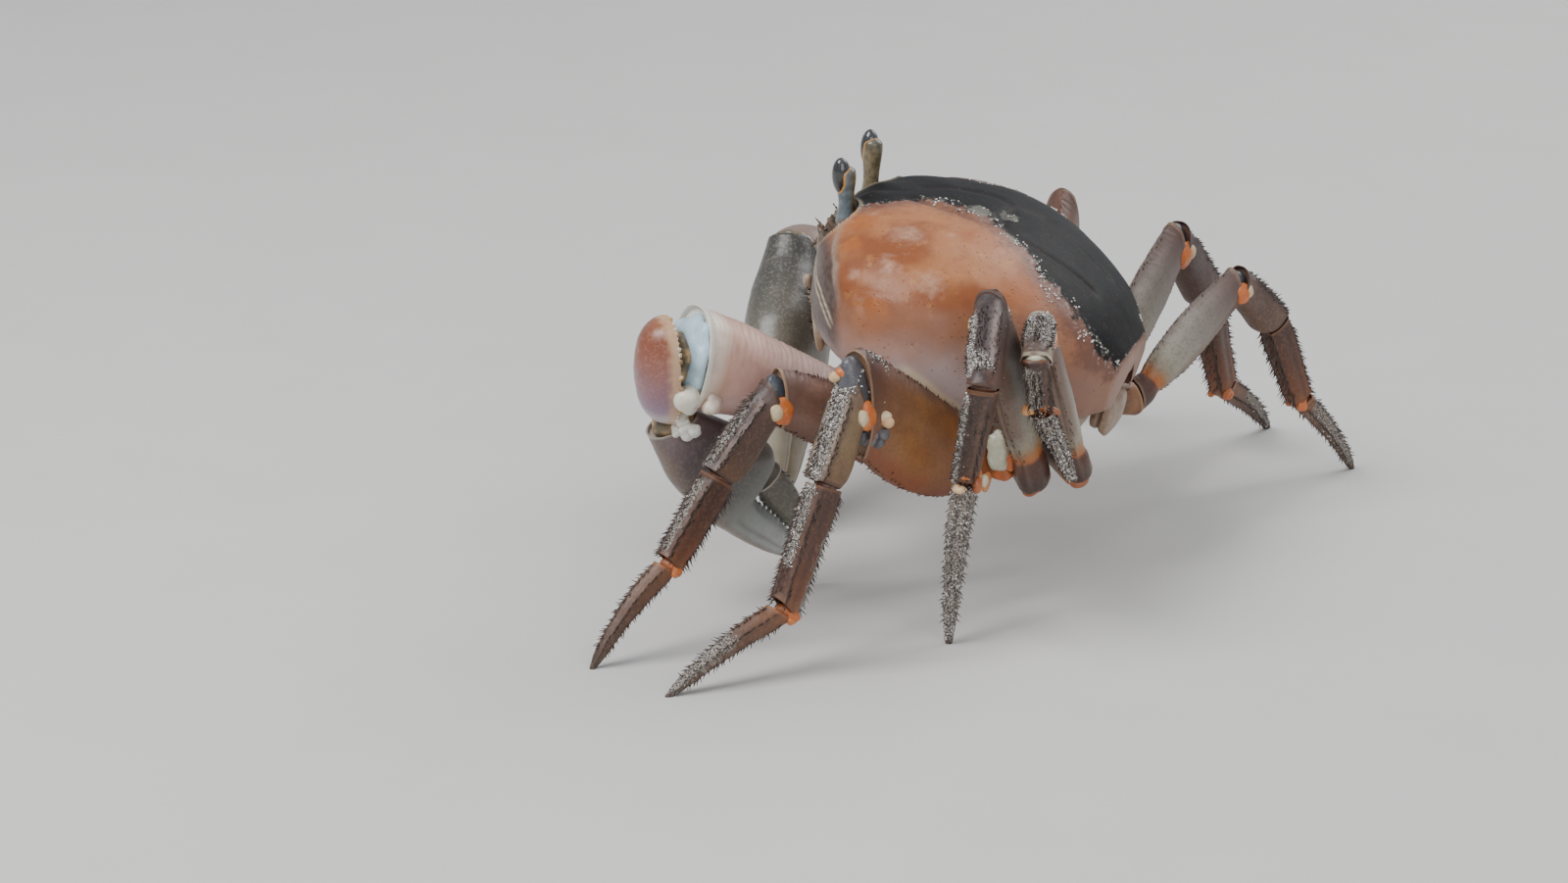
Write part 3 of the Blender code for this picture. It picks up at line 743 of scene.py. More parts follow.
def growBristles(part, cell):
    body = growthBody()
    for at, first, last, count, length, spread in part["rows"]:
        for i in range(count):
            share = first + (last - first) * (i + dice.uniform(0.1, 0.9)) / count
            degrees = at + dice.gauss(0, spread)
            root, out, _ = skinAt(part, share, degrees)
            way = out * dice.uniform(0.6, 1.0) + part["along"] * dice.uniform(0.4, 1.1)
            way = (way + part["broad"].cross(out) * dice.uniform(-0.3, 0.3)).normalized()
            size = length * dice.uniform(0.6, 1.15)
            made = hair(body, root - way * growth["sunk"], way, size, *growth["hair"])
            patch(body, made, cell, degrees, share)
    return body


def grain(body, point, size, tone):
    half = [size * dice.uniform(0.65, 1.25) for _ in range(3)]
    turn = Matrix.Rotation(dice.uniform(0, math.tau), 3, Vector([dice.gauss(0, 1) for _ in range(3)]))
    return ball(body, point, *(turn @ axis for axis in Matrix.Diagonal(half)), tone, 1)


def strewSand(part, rows, cell):
    bodies = []
    for at, spread, first, last, count, size in rows:
        body = growthBody()
        for _ in range(count):
            share = dice.uniform(first, last)
            degrees = at + dice.gauss(0, spread)
            root, out, _ = skinAt(part, share, degrees)
            if lump(root, 2.6) < growth["bare"]:
                continue
            radius = size * dice.uniform(0.45, 1.15)
            made = grain(body, root + out * radius * 0.4, radius, dice.random() ** 1.6)
            patch(body, made, cell, degrees, share)
        bodies.append(body)
    return bodies


# walking legs
walk = {
    "poses": {
        # hip, end of the hip, knee, end of the carpus, end of the propodus, toe
        "leg_1_left": ((25, -0.5, 44.5), (39, -3, 39), (71.5, -30.3, 61.5), (83.3, -41, 42.5),
                       (94.6, -50.2, 22.5), (112, -64, 0)),
        "leg_2_left": ((27, 9, 42), (40, 13, 37), (77.5, -8, 66.5), (89.5, -11.7, 45.5), (100.2, -18.6, 16),
                       (124, -40, 0)),
        "leg_3_left": ((25, 19, 39.5), (38, 27, 35.5), (58, 21, 83.5), (77, 24.5, 70), (63, 16.5, 42),
                       (68, 14, 0)),
        "leg_4_left": ((20, 27, 39.5), (31, 36.5, 36), (46, 30.5, 76.5), (60.7, 33, 73), (55.7, 33, 58.7),
                       (63.7, 44, 44)),
        "leg_1_right": ((-25, -0.5, 44.5), (-39, -4, 39.5), (-68, -34, 64), (-82, -46, 45), (-92, -56, 22),
                        (-107, -74, 0)),
        "leg_2_right": ((-27, 9, 42), (-41, 11, 37.5), (-83, 2, 68), (-99, -2, 48), (-112, -6, 19),
                        (-137, -15, 0)),
        "leg_3_right": ((-25, 19, 39.5), (-38, 25, 35.5), (-74, 36, 68), (-91, 41, 49), (-103, 44, 19),
                        (-128, 52, 0)),
        "leg_4_right": ((-20, 27, 39.5), (-31, 36, 36), (-60, 56, 62), (-73, 64, 48), (-82, 70, 24),
                        (-99, 82, 0)),
    },
    # breadth of the merus, and of the other pieces
    "breadths": {"leg_1": (0.86, 0.82), "leg_2": (1.32, 0.86), "leg_3": (0.86, 0.92), "leg_4": (0.68, 0.78)},
    "gap": 0.3,                                     # between two pieces
    "bows": {("leg_2", "merus"): -2.8},             # how far a piece bends to its outer edge
    "dactylBow": 1.6,
    # how far the joints gape on their outer side, and how far from there they hinge
    "gapes": (0.04, 0.18, 0.05, 0.12), "hinge": 4.6,
    # pieces that look unlike the same piece of the other legs
    "looks": {("leg_1", "merus"): "fore_merus", ("leg_2", "merus"): "mid_merus",
              ("leg_3", "merus"): "rear_merus", ("leg_4", "merus"): "rear_merus",
              ("leg_2_left", "hip"): "pale_hip", ("leg_2", "carpus"): "mid_carpus",
              ("leg_4_left", "carpus"): "end_carpus", ("leg_3", "carpus"): "rear_carpus"},
    # of the last two legs' merus, with a ring at its base
    "rearProfile": ((-0.08, 4.9, 3.8), (0.02, 6.0, 4.3), (0.09, 6.3, 4.4), (0.13, 5.6, 3.9),
                    (0.155, 5.5, 3.7), (0.2, 6.5, 4.0), (0.35, 8.6, 4.2), (0.6, 9.3, 4.3), (0.86, 7.8, 4.1),
                    (1.0, 6.3, 3.8), (1.12, 5.0, 3.4)),
    "slots": {"hip": "leg_upper", "merus": "leg_upper", "carpus": "leg_lower", "propodus": "leg_lower",
              "dactyl": "leg_lower"},
}


def pairs(*rows):                # each row of a ridge or bristles, and the same on the other side
    return tuple((degrees, *rest) for at, *rest in rows for degrees in (at, 360 - at))


# profile: share of the length, half breadth, half thickness, shift along the breadth; ridges: degrees,
# height, width, first and last share; rows of bristles: degrees, first and last share, count, length,
# spread in degrees
legShapes = {
    "hip": {
        "profile": ((0.0, 5.4, 4.2), (0.5, 6.0, 4.7), (1.15, 5.3, 4.3)), "powers": (0.9, 0.9),
        "around": 40, "rings": 36, "cap": 0.12, "ridges": (), "rows": ((0, 0.2, 0.9, 20, 1.3, 40),),
    },
    "merus": {
        "profile": ((-0.08, 4.6, 3.6), (0.08, 6.2, 3.9), (0.3, 8.6, 4.2), (0.6, 9.3, 4.3),
                    (0.88, 8.2, 4.2), (1.12, 6.4, 3.8)),
        "powers": (0.92, 1.15), "around": 64, "rings": 110, "edge": 0.35,
        "ridges": ((0, 0.55, 9, 0.0, 1.0), *pairs((160, 0.35, 8, 0.0, 1.0)), (180, -0.3, 7, 0.1, 1.0)),
        "rugae": (0.16, 1.5, 0, 38),
        "rows": ((0, 0.2, 0.95, 34, 1.1, 6), *pairs((160, 0.15, 0.95, 26, 1.2, 5))),
    },
    "carpus": {
        "profile": ((-0.25, 4.6, 3.8, 0), (0.1, 5.6, 4.2, 0), (0.5, 6.3, 4.3, -0.1), (0.74, 6.7, 4.3, -0.3),
                    (0.88, 6.3, 4.1, -0.1), (0.97, 5.4, 3.8, 0.5), (1.06, 4.4, 3.4, 1.0),
                    (1.15, 4.0, 3.2, 1.2)),
        "powers": (0.75, 0.78), "around": 56, "rings": 70, "edge": 0.35, "stripes": ((325, 13), (35, 13)),
        "ridges": ((0, 0.5, 11, 0.1, 1.0), *pairs((52, 0.5, 9, 0.15, 1.0), (28, -0.35, 8, 0.2, 0.9))),
        "rows": ((0, 0.1, 0.98, 46, 1.7, 5),
                 *pairs((52, 0.15, 0.98, 36, 1.5, 4), (20, 0.1, 0.95, 24, 1.0, 14))),
    },
    "propodus": {
        "profile": ((-0.15, 4.6, 3.4), (0.15, 5.3, 3.8), (0.55, 4.9, 3.5), (0.92, 4.3, 3.2),
                    (1.12, 3.6, 2.8)),
        "powers": (0.72, 0.72), "around": 56, "rings": 84, "edge": 0.3, "stripes": ((330, 10), (28, 10)),
        "ridges": ((8, 0.35, 9, 0.0, 1.0), *pairs((48, 0.4, 8, 0.05, 1.0), (150, 0.35, 8, 0.0, 1.0)),
                   *pairs((275, -0.25, 9, 0.05, 0.95))),
        "rows": ((5, 0.05, 0.98, 52, 1.6, 6),
                 *pairs((48, 0.1, 0.98, 42, 1.8, 5), (150, 0.05, 0.98, 46, 2.2, 5)),
                 (180, 0.05, 0.98, 40, 1.8, 9)),
    },
    "dactyl": {
        "profile": ((-0.12, 3.4, 2.7), (0.2, 3.5, 2.7), (0.5, 2.8, 2.2), (0.8, 1.9, 1.5), (1.04, 0.8, 0.7)),
        "powers": (0.8, 0.8), "around": 48, "rings": 90, "edge": 0.25,
        "ridges": tuple((at, 0.28, 11, 0.05, 0.95) for at in range(0, 360, 60)),
        "rows": tuple((at, 0.08, 0.86, 24, 1.7, 3) for at in range(0, 360, 60)),
    },
}
# sand that sticks to the legs: degrees, spread, first and last share, count, grain size
legSand = {
    ("leg_1_left", "carpus"): ((356, 9, 0.3, 1.0, 150, 0.22), (18, 12, 0.2, 1.0, 30, 0.18)),
    ("leg_1_left", "propodus"): ((0, 12, 0.1, 0.9, 60, 0.2),),
    ("leg_2_left", "merus"): ((5, 24, 0.88, 1.02, 260, 0.3),),
    ("leg_2_left", "carpus"): ((2, 17, -0.1, 1.0, 1300, 0.23), (342, 9, 0.0, 1.0, 200, 0.2),
                               (10, 40, -0.2, 0.1, 420, 0.34)),
    ("leg_2_left", "propodus"): ((4, 14, 0.0, 0.66, 520, 0.22), (180, 40, 0.3, 1.0, 60, 0.2)),
    ("leg_2_left", "dactyl"): ((0, 60, 0.4, 0.98, 200, 0.2),),
    ("leg_3_left", "merus"): ((0, 40, 0.9, 1.0, 60, 0.25),),
    ("leg_3_left", "carpus"): ((38, 11, 0.2, 1.0, 420, 0.22), (8, 28, 0.72, 0.94, 260, 0.24)),
    ("leg_3_left", "propodus"): ((36, 13, 0.0, 1.0, 640, 0.22),),
    ("leg_3_left", "dactyl"): ((0, 110, 0.0, 0.98, 2100, 0.24),),
    ("leg_4_left", "merus"): ((0, 40, 0.88, 1.02, 220, 0.3),),
    ("leg_4_left", "carpus"): ((0, 60, 0.0, 0.8, 460, 0.22), (0, 50, -0.1, 0.25, 110, 0.3)),
    ("leg_4_left", "propodus"): ((40, 30, 0.0, 0.9, 40, 0.22),),
    ("leg_4_left", "dactyl"): ((0, 140, 0.05, 0.98, 1900, 0.24),),
    ("leg_1_right", "propodus"): ((0, 30, 0.2, 1.0, 200, 0.22),),
    ("leg_2_right", "carpus"): ((0, 24, 0.1, 1.0, 420, 0.22),),
    ("leg_2_right", "propodus"): ((0, 28, 0.1, 1.0, 360, 0.22),),
    ("leg_3_right", "propodus"): ((0, 28, 0.1, 1.0, 300, 0.22),),
    ("leg_3_right", "dactyl"): ((0, 80, 0.3, 0.98, 300, 0.22),),
    ("leg_4_right", "dactyl"): ((0, 90, 0.1, 0.95, 500, 0.22),),
}
# colours of the pieces: "shades" run along, "top" and "under" lie on the outer and inner edge, "topEdge"
# says from where, "fade" from which share of the length; "mottle" is the size of the blotches
# a look's stripe colour is a painted sheen along the flat faces of the carpus and propodus
legLooks = {
    "hip": dict(
        shades=((0, (104, 64, 40)), (0.5, (84, 54, 38)), (0.82, (140, 96, 62)), (1, (112, 76, 52))),
        spot=(66, 44, 34), speck=(150, 106, 72), lip=(158, 118, 80)),
    "merus": dict(
        shades=((0, (136, 80, 42)), (0.45, (130, 88, 50)), (0.8, (114, 78, 54)), (1, (92, 64, 58))),
        top=(70, 52, 50), topEdge=(0.55, 1.0), under=(100, 56, 34), spot=(92, 58, 38), speck=(78, 56, 42),
        lip=(188, 160, 138), mottle=5, stipple=0.25, rough=0.46, coat=0.05),
    "fore_merus": dict(
        shades=((0, (160, 106, 72)), (0.45, (156, 116, 90)), (0.8, (146, 110, 94)), (1, (104, 80, 72))),
        top=(92, 68, 64), topEdge=(0.55, 1.0), under=(110, 72, 56), spot=(104, 72, 58), speck=(92, 68, 56),
        lip=(160, 130, 106), mottle=5, rough=0.46, coat=0.05),
    "mid_merus": dict(
        shades=((0, (134, 70, 34)), (0.3, (156, 98, 48)), (0.6, (150, 102, 58)), (0.85, (118, 82, 62)),
                (1, (84, 60, 54))),
        top=(84, 60, 52), topEdge=(0.6, 1.0), under=(124, 58, 30), spot=(112, 68, 38), speck=(92, 62, 42),
        lip=(136, 106, 84), mottle=5, rough=0.46, coat=0.05),
    "pale_hip": dict(
        shades=((0, (150, 88, 48)), (0.3, (206, 202, 182)), (0.7, (196, 190, 168)), (0.86, (182, 104, 54)),
                (1, (120, 62, 36))),
        under=(122, 64, 38), spot=(168, 158, 136), speck=(216, 212, 196), lip=(150, 86, 50)),
    "mid_carpus": dict(
        shades=((0, (120, 98, 84)), (0.3, (130, 108, 82)), (0.7, (126, 100, 70)), (1, (112, 80, 54))),
        top=(66, 54, 52), topEdge=(0.35, 0.85), under=(112, 82, 56), spot=(84, 62, 48),
        speck=(146, 122, 100), ridge=(52, 40, 36), lip=(86, 64, 50), rough=0.48, coat=0.05,
        stripe=(150, 128, 108), dusty=True),
    "rear_merus": dict(
        shades=((0, (58, 36, 30)), (0.13, (88, 50, 36)), (0.15, (178, 100, 44)), (0.19, (164, 110, 64)),
                (0.24, (148, 134, 112)), (0.32, (156, 150, 134)), (0.6, (138, 130, 122)),
                (0.85, (112, 96, 90)), (1, (86, 62, 56))),
        top=(84, 66, 62), topEdge=(0.7, 1.0), topShare=0.6, under=(110, 80, 60), spot=(104, 92, 84),
        speck=(88, 72, 62), lip=(120, 94, 78), mottle=5, rough=0.46, coat=0.05, wander=0.04, fade=0.24,
        blotch=0.2),
    "rear_carpus": dict(
        shades=((0, (62, 46, 44)), (0.3, (72, 54, 50)), (0.7, (78, 54, 46)), (1, (92, 60, 44))),
        top=(50, 40, 42), topEdge=(0.5, 1.0), under=(84, 54, 40), spot=(54, 40, 38), speck=(112, 86, 74),
        ridge=(44, 34, 34), lip=(80, 56, 46), rough=0.46, coat=0.06, stripe=(146, 130, 122), dusty=True),
    "end_carpus": dict(
        shades=((0, (70, 54, 50)), (0.3, (78, 60, 54)), (0.75, (104, 84, 72)), (0.88, (176, 160, 140)),
                (1, (150, 126, 104))),
        top=(58, 46, 46), topEdge=(0.35, 0.85), spot=(60, 46, 42), speck=(132, 106, 92),
        lip=(180, 166, 146), rough=0.48, coat=0.05, dusty=True),
    "carpus": dict(
        shades=((0, (112, 90, 84)), (0.3, (92, 70, 62)), (0.7, (88, 66, 54)), (1, (104, 74, 52))),
        top=(58, 46, 46), topEdge=(0.35, 0.85), under=(98, 70, 52), spot=(66, 48, 42), speck=(132, 106, 92),
        ridge=(44, 34, 34), lip=(78, 58, 48), rough=0.48, coat=0.05, stripe=(122, 98, 88), dusty=True),
    "propodus": dict(
        shades=((0, (68, 42, 32)), (0.5, (86, 50, 32)), (0.85, (112, 62, 34)), (1, (138, 84, 46))),
        top=(60, 44, 40), topEdge=(0.5, 0.9), spot=(56, 38, 32), speck=(124, 84, 60), ridge=(42, 30, 28),
        lip=(104, 68, 46), rough=0.48, stipple=0.35, coat=0.05, stripe=(104, 76, 60), dusty=True),
    "dactyl": dict(
        shades=((0, (118, 76, 50)), (0.4, (98, 68, 52)), (0.85, (84, 66, 54)), (1, (58, 50, 44))),
        spot=(70, 50, 42), speck=(140, 106, 82), ridge=(58, 44, 36), lip=(136, 88, 58), dusty=True,
        coat=0.05, rough=0.5),
}
# tone of the joints' soft skin, of the swelling beside it and of the pale spot on that
jointTones = ((0.46, 0.62, 0.8), (0.12, 0.57, 0.75), (0.40, None, None), (0.48, 0.53, 0.57))
ownTones = {("leg_4_left", 2): (0.9, None, None), ("leg_4_left", 3): (0.58, 0.62, 0.80),
            ("leg_3_left", 0): (0.46, None, None), ("leg_4_left", 0): (0.46, None, None),
            ("leg_3_right", 0): (0.46, None, None), ("leg_4_right", 0): (0.46, None, None),
            ("leg_3_left", 3): (0.56, 0.62, 0.8), ("leg_2_left", 1): (0.2, 0.57, 0.77)}
swelling = {
    # half sizes along the leg, outwards and across, of the swelling and of the spot, and their places
    "body": (2.5, 3.2, 1.5), "bodyAt": (0.3, -0.5, 0.0), "spot": (1.5, 1.9, 1.2), "spotAt": (2.2, 0.0, 0.5),
    "fits": 5.2, "largest": 1.2,                    # half breadth that these suit, and the most they grow
}


def limbJoint(body, place, way, outer, side, halfBreadth, halfThickness, tones, gape):
    # the soft skin between two pieces and the swellings at its two ends
    ball(body, place - outer * halfBreadth * 0.1, way * (1.6 + halfBreadth * gape * 1.2),
         outer * halfBreadth * 0.76, side * halfThickness * 0.82, tones[0], 4, 0.12)
    size = min(halfBreadth / swelling["fits"], swelling["largest"])
    for hand in (1, -1) if tones[1] else ():
        base = place + side * hand * halfThickness * 0.8 - outer * halfBreadth * 0.42
        for word, tone in zip(("body", "spot"), tones[1:]):
            axes = [axis * size * half for axis, half in zip((way, outer, side), swelling[word])]
            along, outward, across = swelling[word + "At"]
            shift = (way * along + outer * outward + side * hand * across) * size
            ball(body, base + shift, *axes, tone)


def makeLeg(name, pose, paints, joints, cell):
    points = [standing(point) for point in pose]
    kind, word = name[:5], name[6:]
    side = ((points[-1] - points[0]) * Vector((1, 1, 0))).cross(up).normalized()
    ways = [(end - start).normalized() for start, end in zip(points, points[1:])]
    planes = [(before + after).normalized() for before, after in zip(ways, ways[1:])]

    def cutAt(joint, hand):      # the plane that ends the piece before a joint, or begins the one after it
        way, outer = planes[joint], side.cross(planes[joint])
        pivot = points[joint + 1] + way * hand * walk["gap"] / 2 - outer * walk["hinge"]
        return pivot, (outer * walk["gapes"][joint] - way * hand).normalized()

    for i, (partWord, shape) in enumerate(legShapes.items()):
        breadth = walk["breadths"][kind][0 if partWord == "merus" else 1]
        bow = walk["dactylBow"] if partWord == "dactyl" else walk["bows"].get((kind, partWord), 0)
        sand = legSand.get((name, partWord), ())
        if partWord == "merus" and kind in ("leg_3", "leg_4"):
            shape = {**shape, "profile": walk["rearProfile"]}
        part = limbPart(points[i], points[i + 1], side, {**shape, "dust": sand}, breadth, bow)
        body = limbBody(part)
        if i > 0:
            openEnd(body, part, *cutAt(i - 1, 1))
        if partWord == "dactyl":
            trim(body, points[5], -up, 0.2, 0.1)
        else:
            openEnd(body, part, *cutAt(i, -1))
            halfBreadth, halfThickness = between(shape["profile"], 1)[:2]
            halfBreadth *= breadth / max(abs(planes[i].dot(ways[i])), 0.5) * 0.92
            limbJoint(joints, points[i + 1], planes[i], side.cross(planes[i]), side, halfBreadth,
                      halfThickness * (0.5 + breadth / 2), ownTones.get((name, i), jointTones[i]),
                      walk["gapes"][i])
        nodeName = name + "_" + partWord
        look = walk["looks"].get((name, partWord)) or walk["looks"].get((kind, partWord), partWord)
        piece(nodeName + "_shell", body, paints[look], walk["slots"][partWord], nodeName)
        growth["bristles"][word].append(growBristles(part, cell + i))
        growth["sand"][word] += strewSand(part, sand, cell + i)


# pale calluses and soft lumps at the left knees, toe joints and hips: place, half sizes, tone
kneeLumps = (
    ((74.3, -3.9, 61.4), (1.5, 3.0, 3.3), 0.74),
    ((74.7, -1.9, 59.1), (1.5, 2.6, 1.9), 0.76),
    ((75.0, -0.2, 58.1), (1.4, 1.7, 1.4), 0.72),
    ((75.1, -5.3, 56.1), (1.5, 2.2, 1.8), 0.26),
    ((75.3, -3.3, 55.4), (1.5, 2.0, 2.1), 0.3),
    ((75.1, -1.3, 55.2), (1.4, 1.9, 1.7), 0.24),
    ((75.7, -4.3, 53.2), (1.5, 2.2, 1.6), 0.28),
    ((75.3, -2.2, 53.0), (1.4, 1.8, 1.5), 0.22),
    ((76.0, -6.7, 54.5), (1.5, 2.0, 2.4), 0.2),
    ((80.1, -10.2, 71.3), (1.8, 1.8, 1.5), 0.56),
    ((80.9, -11.6, 70.4), (1.2, 1.4, 1.3), 0.72),
    ((42.2, 18.8, 42.6), (2.0, 2.9, 5.8), 0.93),
    ((41.0, 21.2, 41.4), (1.8, 2.2, 3.6), 0.56),
    ((39.5, 19.2, 36.0), (2.0, 3.0, 2.0), 0.5),
    ((67.1, 17.4, 43.9), (1.5, 2.0, 1.5), 0.58),
    ((65.5, 19.9, 41.2), (1.5, 1.5, 1.9), 0.5),
    ((67.5, 16.1, 40.3), (1.4, 1.6, 1.2), 0.72),
    ((59.3, 31.1, 59.6), (1.4, 1.8, 1.4), 0.66),
    ((58.0, 34.1, 60.6), (1.4, 1.5, 1.3), 0.56),
    ((56.8, 36.7, 59.0), (1.4, 1.6, 1.2), 0.46))


def makeLegs():
    paints = {word: limbPaint("leg_%s_paint" % word, look) for word, look in legLooks.items()}
    joints = {"left": bmesh.new(), "right": bmesh.new()}
    for i, (name, pose) in enumerate(walk["poses"].items()):
        makeLeg(name, pose, paints, joints[name[6:]], i * len(legShapes))
    for place, half, tone in kneeLumps:
        ball(joints["left"], standing(place), *Matrix.Diagonal(half), tone, 3, 0.4)
    return joints


joints = makeLegs()
print("legs made")


# claw arms
arms = {
    "poses": {
        "left": dict(hip=(23, -12.5, 49.5), hipEnd=(34, -22, 49), elbow=(66, -54.5, 67),
                     carpus=(69, -58, 64.5), wrist=(66.5, -58.5, 50.5), tip=(38, -31.5, 9),
                     carpusHalf=(14, 9.4), merusHalf=(12.5, 10.5), elbowTurn=0.15, palmHalf=(12, 7.5),
                     palmFace=(0.75, 0.66, -0.07), openWay=(0.3, 0.35, 0.9), gape=0.27, space=2.7),
        "right": dict(hip=(-23, -12.5, 49.5), hipEnd=(-34, -22, 49), elbow=(-62, -52, 50),
                      carpus=(-49, -59.5, 58), wrist=(-33, -59.5, 67), tip=(2, -52, 10),
                      carpusHalf=(18, 11.5), merusHalf=(12.5, 10.5), elbowTurn=0.5, palmHalf=(19, 10.2),
                      palmFace=(0, -1, 0), openWay=(-0.4, -0.3, 0.7), gape=0.16, space=0.3),
    },
    "narrow": (5.0, 4.4),
    "merusGrowth": ((-0.1, 0.0), (0.08, 0.17), (0.4, 0.5), (0.75, 0.88), (0.97, 1.0), (1.2, 0.95)),
    # share of the length, half breadth, half thickness and shift in shares of the palm's half sizes
    "palm": ((-0.07, 0.46, 0.60, -0.08), (0.06, 0.62, 0.82, -0.12), (0.2, 0.84, 1.0, -0.10),
             (0.38, 1.0, 1.0, 0.0), (0.505, 0.93, 0.88, -0.06), (0.55, 0.50, 0.70, -0.45),
             (0.75, 0.36, 0.46, -0.38), (0.9, 0.22, 0.32, -0.25), (1.0, 0.08, 0.14, -0.08)),
    "finger": ((0.50, 0.36, 0.62, 0.47), (0.6, 0.37, 0.58, 0.47), (0.75, 0.30, 0.46, 0.40),
               (0.9, 0.19, 0.32, 0.27), (1.0, 0.07, 0.13, 0.10)),
    "fingerStart": 0.545,
}
armShapes = {
    "hip": {
        "profile": ((0, 5.6, 4.8), (0.5, 6.2, 5.2), (1.3, 5.8, 5.0)), "powers": (0.9, 0.9), "around": 44,
        "rings": 36, "cap": 0.12, "ridges": (), "rows": ((0, 0.2, 0.9, 14, 1.2, 40),),
    },
    "merus": {
        "powers": (0.85, 0.9), "around": 84, "rings": 120, "edge": 0.6, "rugae": (0.09, 1.7, 0, 70),
        "ridges": ((0, 0.35, 10, 0.1, 1.0), (140, 0.4, 9, 0.1, 1.0), (222, 0.4, 9, 0.1, 1.0)),
        "rows": ((140, 0.3, 0.95, 20, 1.0, 5),),
    },
    "palm": {
        "powers": (0.85, 0.85), "around": 90, "rings": 190, "cap": 0.02,
        "ridges": ((180, 0.25, 14, 0.0, 0.9), (100, -0.35, 7, 0.55, 1.0), (260, -0.35, 7, 0.55, 1.0)),
        "teeth": (0, 0.58, 0.97, 13, 1.5), "rows": (),
    },
    "finger": {
        "powers": (0.85, 0.85), "around": 64, "rings": 120, "cap": 0.02,
        "ridges": ((80, -0.3, 8, 0.55, 1.0), (280, -0.3, 8, 0.55, 1.0)),
        "teeth": (180, 0.6, 0.97, 12, 1.4), "rows": ((0, 0.56, 0.7, 10, 1.2, 30),),
    },
}
armLooks = {
    "left_merus": dict(
        shades=((0, (230, 216, 202)), (0.3, (226, 202, 194)), (0.7, (216, 178, 166)),
                (0.88, (204, 162, 144)), (0.95, (232, 216, 198)), (1, (236, 226, 210))),
        under=(204, 176, 172), spot=(166, 116, 96), speck=(190, 164, 160), blotch=0.4, lip=(230, 224, 212),
        mottle=9, rough=0.42, stipple=0.15),
    "left_carpus": dict(
        shades=((0, (146, 88, 50)), (0.25, (132, 72, 46)), (0.42, (140, 88, 78)), (0.56, (140, 104, 116)),
                (0.68, (146, 124, 146)), (0.78, (208, 202, 202))),
        ridge=(200, 164, 128), ridgeShare=0.75, spot=(116, 64, 48), speck=(176, 140, 124),
        lip=(214, 196, 184), mottle=6, blotch=0.3, stipple=0.2, rough=0.34, coat=0.3),
    "left_palm": dict(
        shades=((0, (122, 104, 108)), (0.18, (88, 76, 78)), (0.4, (88, 86, 82)), (0.58, (140, 146, 142)),
                (0.85, (182, 188, 186)), (1, (172, 164, 142))),
        under=(110, 86, 70), spot=(94, 78, 74), speck=(136, 128, 122), lip=(150, 138, 128), mottle=7,
        blotch=0.3, rough=0.36, coat=0.25),
    # the left finger's own grey, a little darkened by painted shade
    "left_finger": dict(
        shades=((0.55, (94, 90, 82)), (0.75, (104, 102, 92)), (1, (150, 142, 122))),
        spot=(96, 90, 80), speck=(150, 146, 136), lip=(170, 160, 146), mottle=5, ridgeShare=0.2),
    "right_merus": dict(
        shades=((0, (170, 150, 140)), (0.5, (150, 126, 116)), (1, (160, 142, 128))),
        spot=(120, 92, 80), speck=(170, 150, 140), lip=(216, 206, 190), mottle=8),
    "right_carpus": dict(
        shades=((0, (150, 112, 88)), (0.5, (134, 104, 92)), (1, (126, 112, 104))),
        spot=(112, 80, 66), speck=(160, 136, 122), lip=(206, 192, 176), mottle=7),
    # the right palm's dark stops near the wrist are painted shade
    "right_palm": dict(
        shades=((0, (58, 55, 50)), (0.2, (72, 69, 62)), (0.42, (98, 93, 83)), (0.62, (158, 150, 136)),
                (0.85, (182, 172, 152)), (1, (170, 158, 134))),
        under=(140, 130, 118), spot=(100, 92, 82), speck=(150, 142, 128), lip=(200, 192, 178), mottle=9,
        blotch=0.35, rough=0.38, coat=0.2),
    "right_finger": dict(
        shades=((0.55, (150, 142, 126)), (0.8, (178, 170, 150)), (1, (166, 154, 130))),
        spot=(128, 116, 100), speck=(176, 166, 148), lip=(190, 180, 164), mottle=6),
}


def carpusBody(pose, middle, reach):
    length, radius = pose["carpusHalf"]
    lean = reach.to_track_quat("Z", "Y").to_matrix()

    def ringAt(share):
        place, wide = -power(math.cos(math.pi * share), 0.9), math.sin(math.pi * share) ** 0.75

        def corner(turn):
            angle = math.tau * turn
            across = Vector((power(math.cos(angle), 0.88) * wide, power(math.sin(angle), 0.88) * wide, 0))
            point = middle + lean @ (across * radius + Vector((0, 0, place * length)))
            lift = 0.35 * lump(point, 7) + 0.1 * lump(point, 2)
            return point + (lean @ across) * lift, (share, math.cos(angle), 0.0)
        return corner
    return tube(72, 72, ringAt, ("along", "edge", "ridge"))


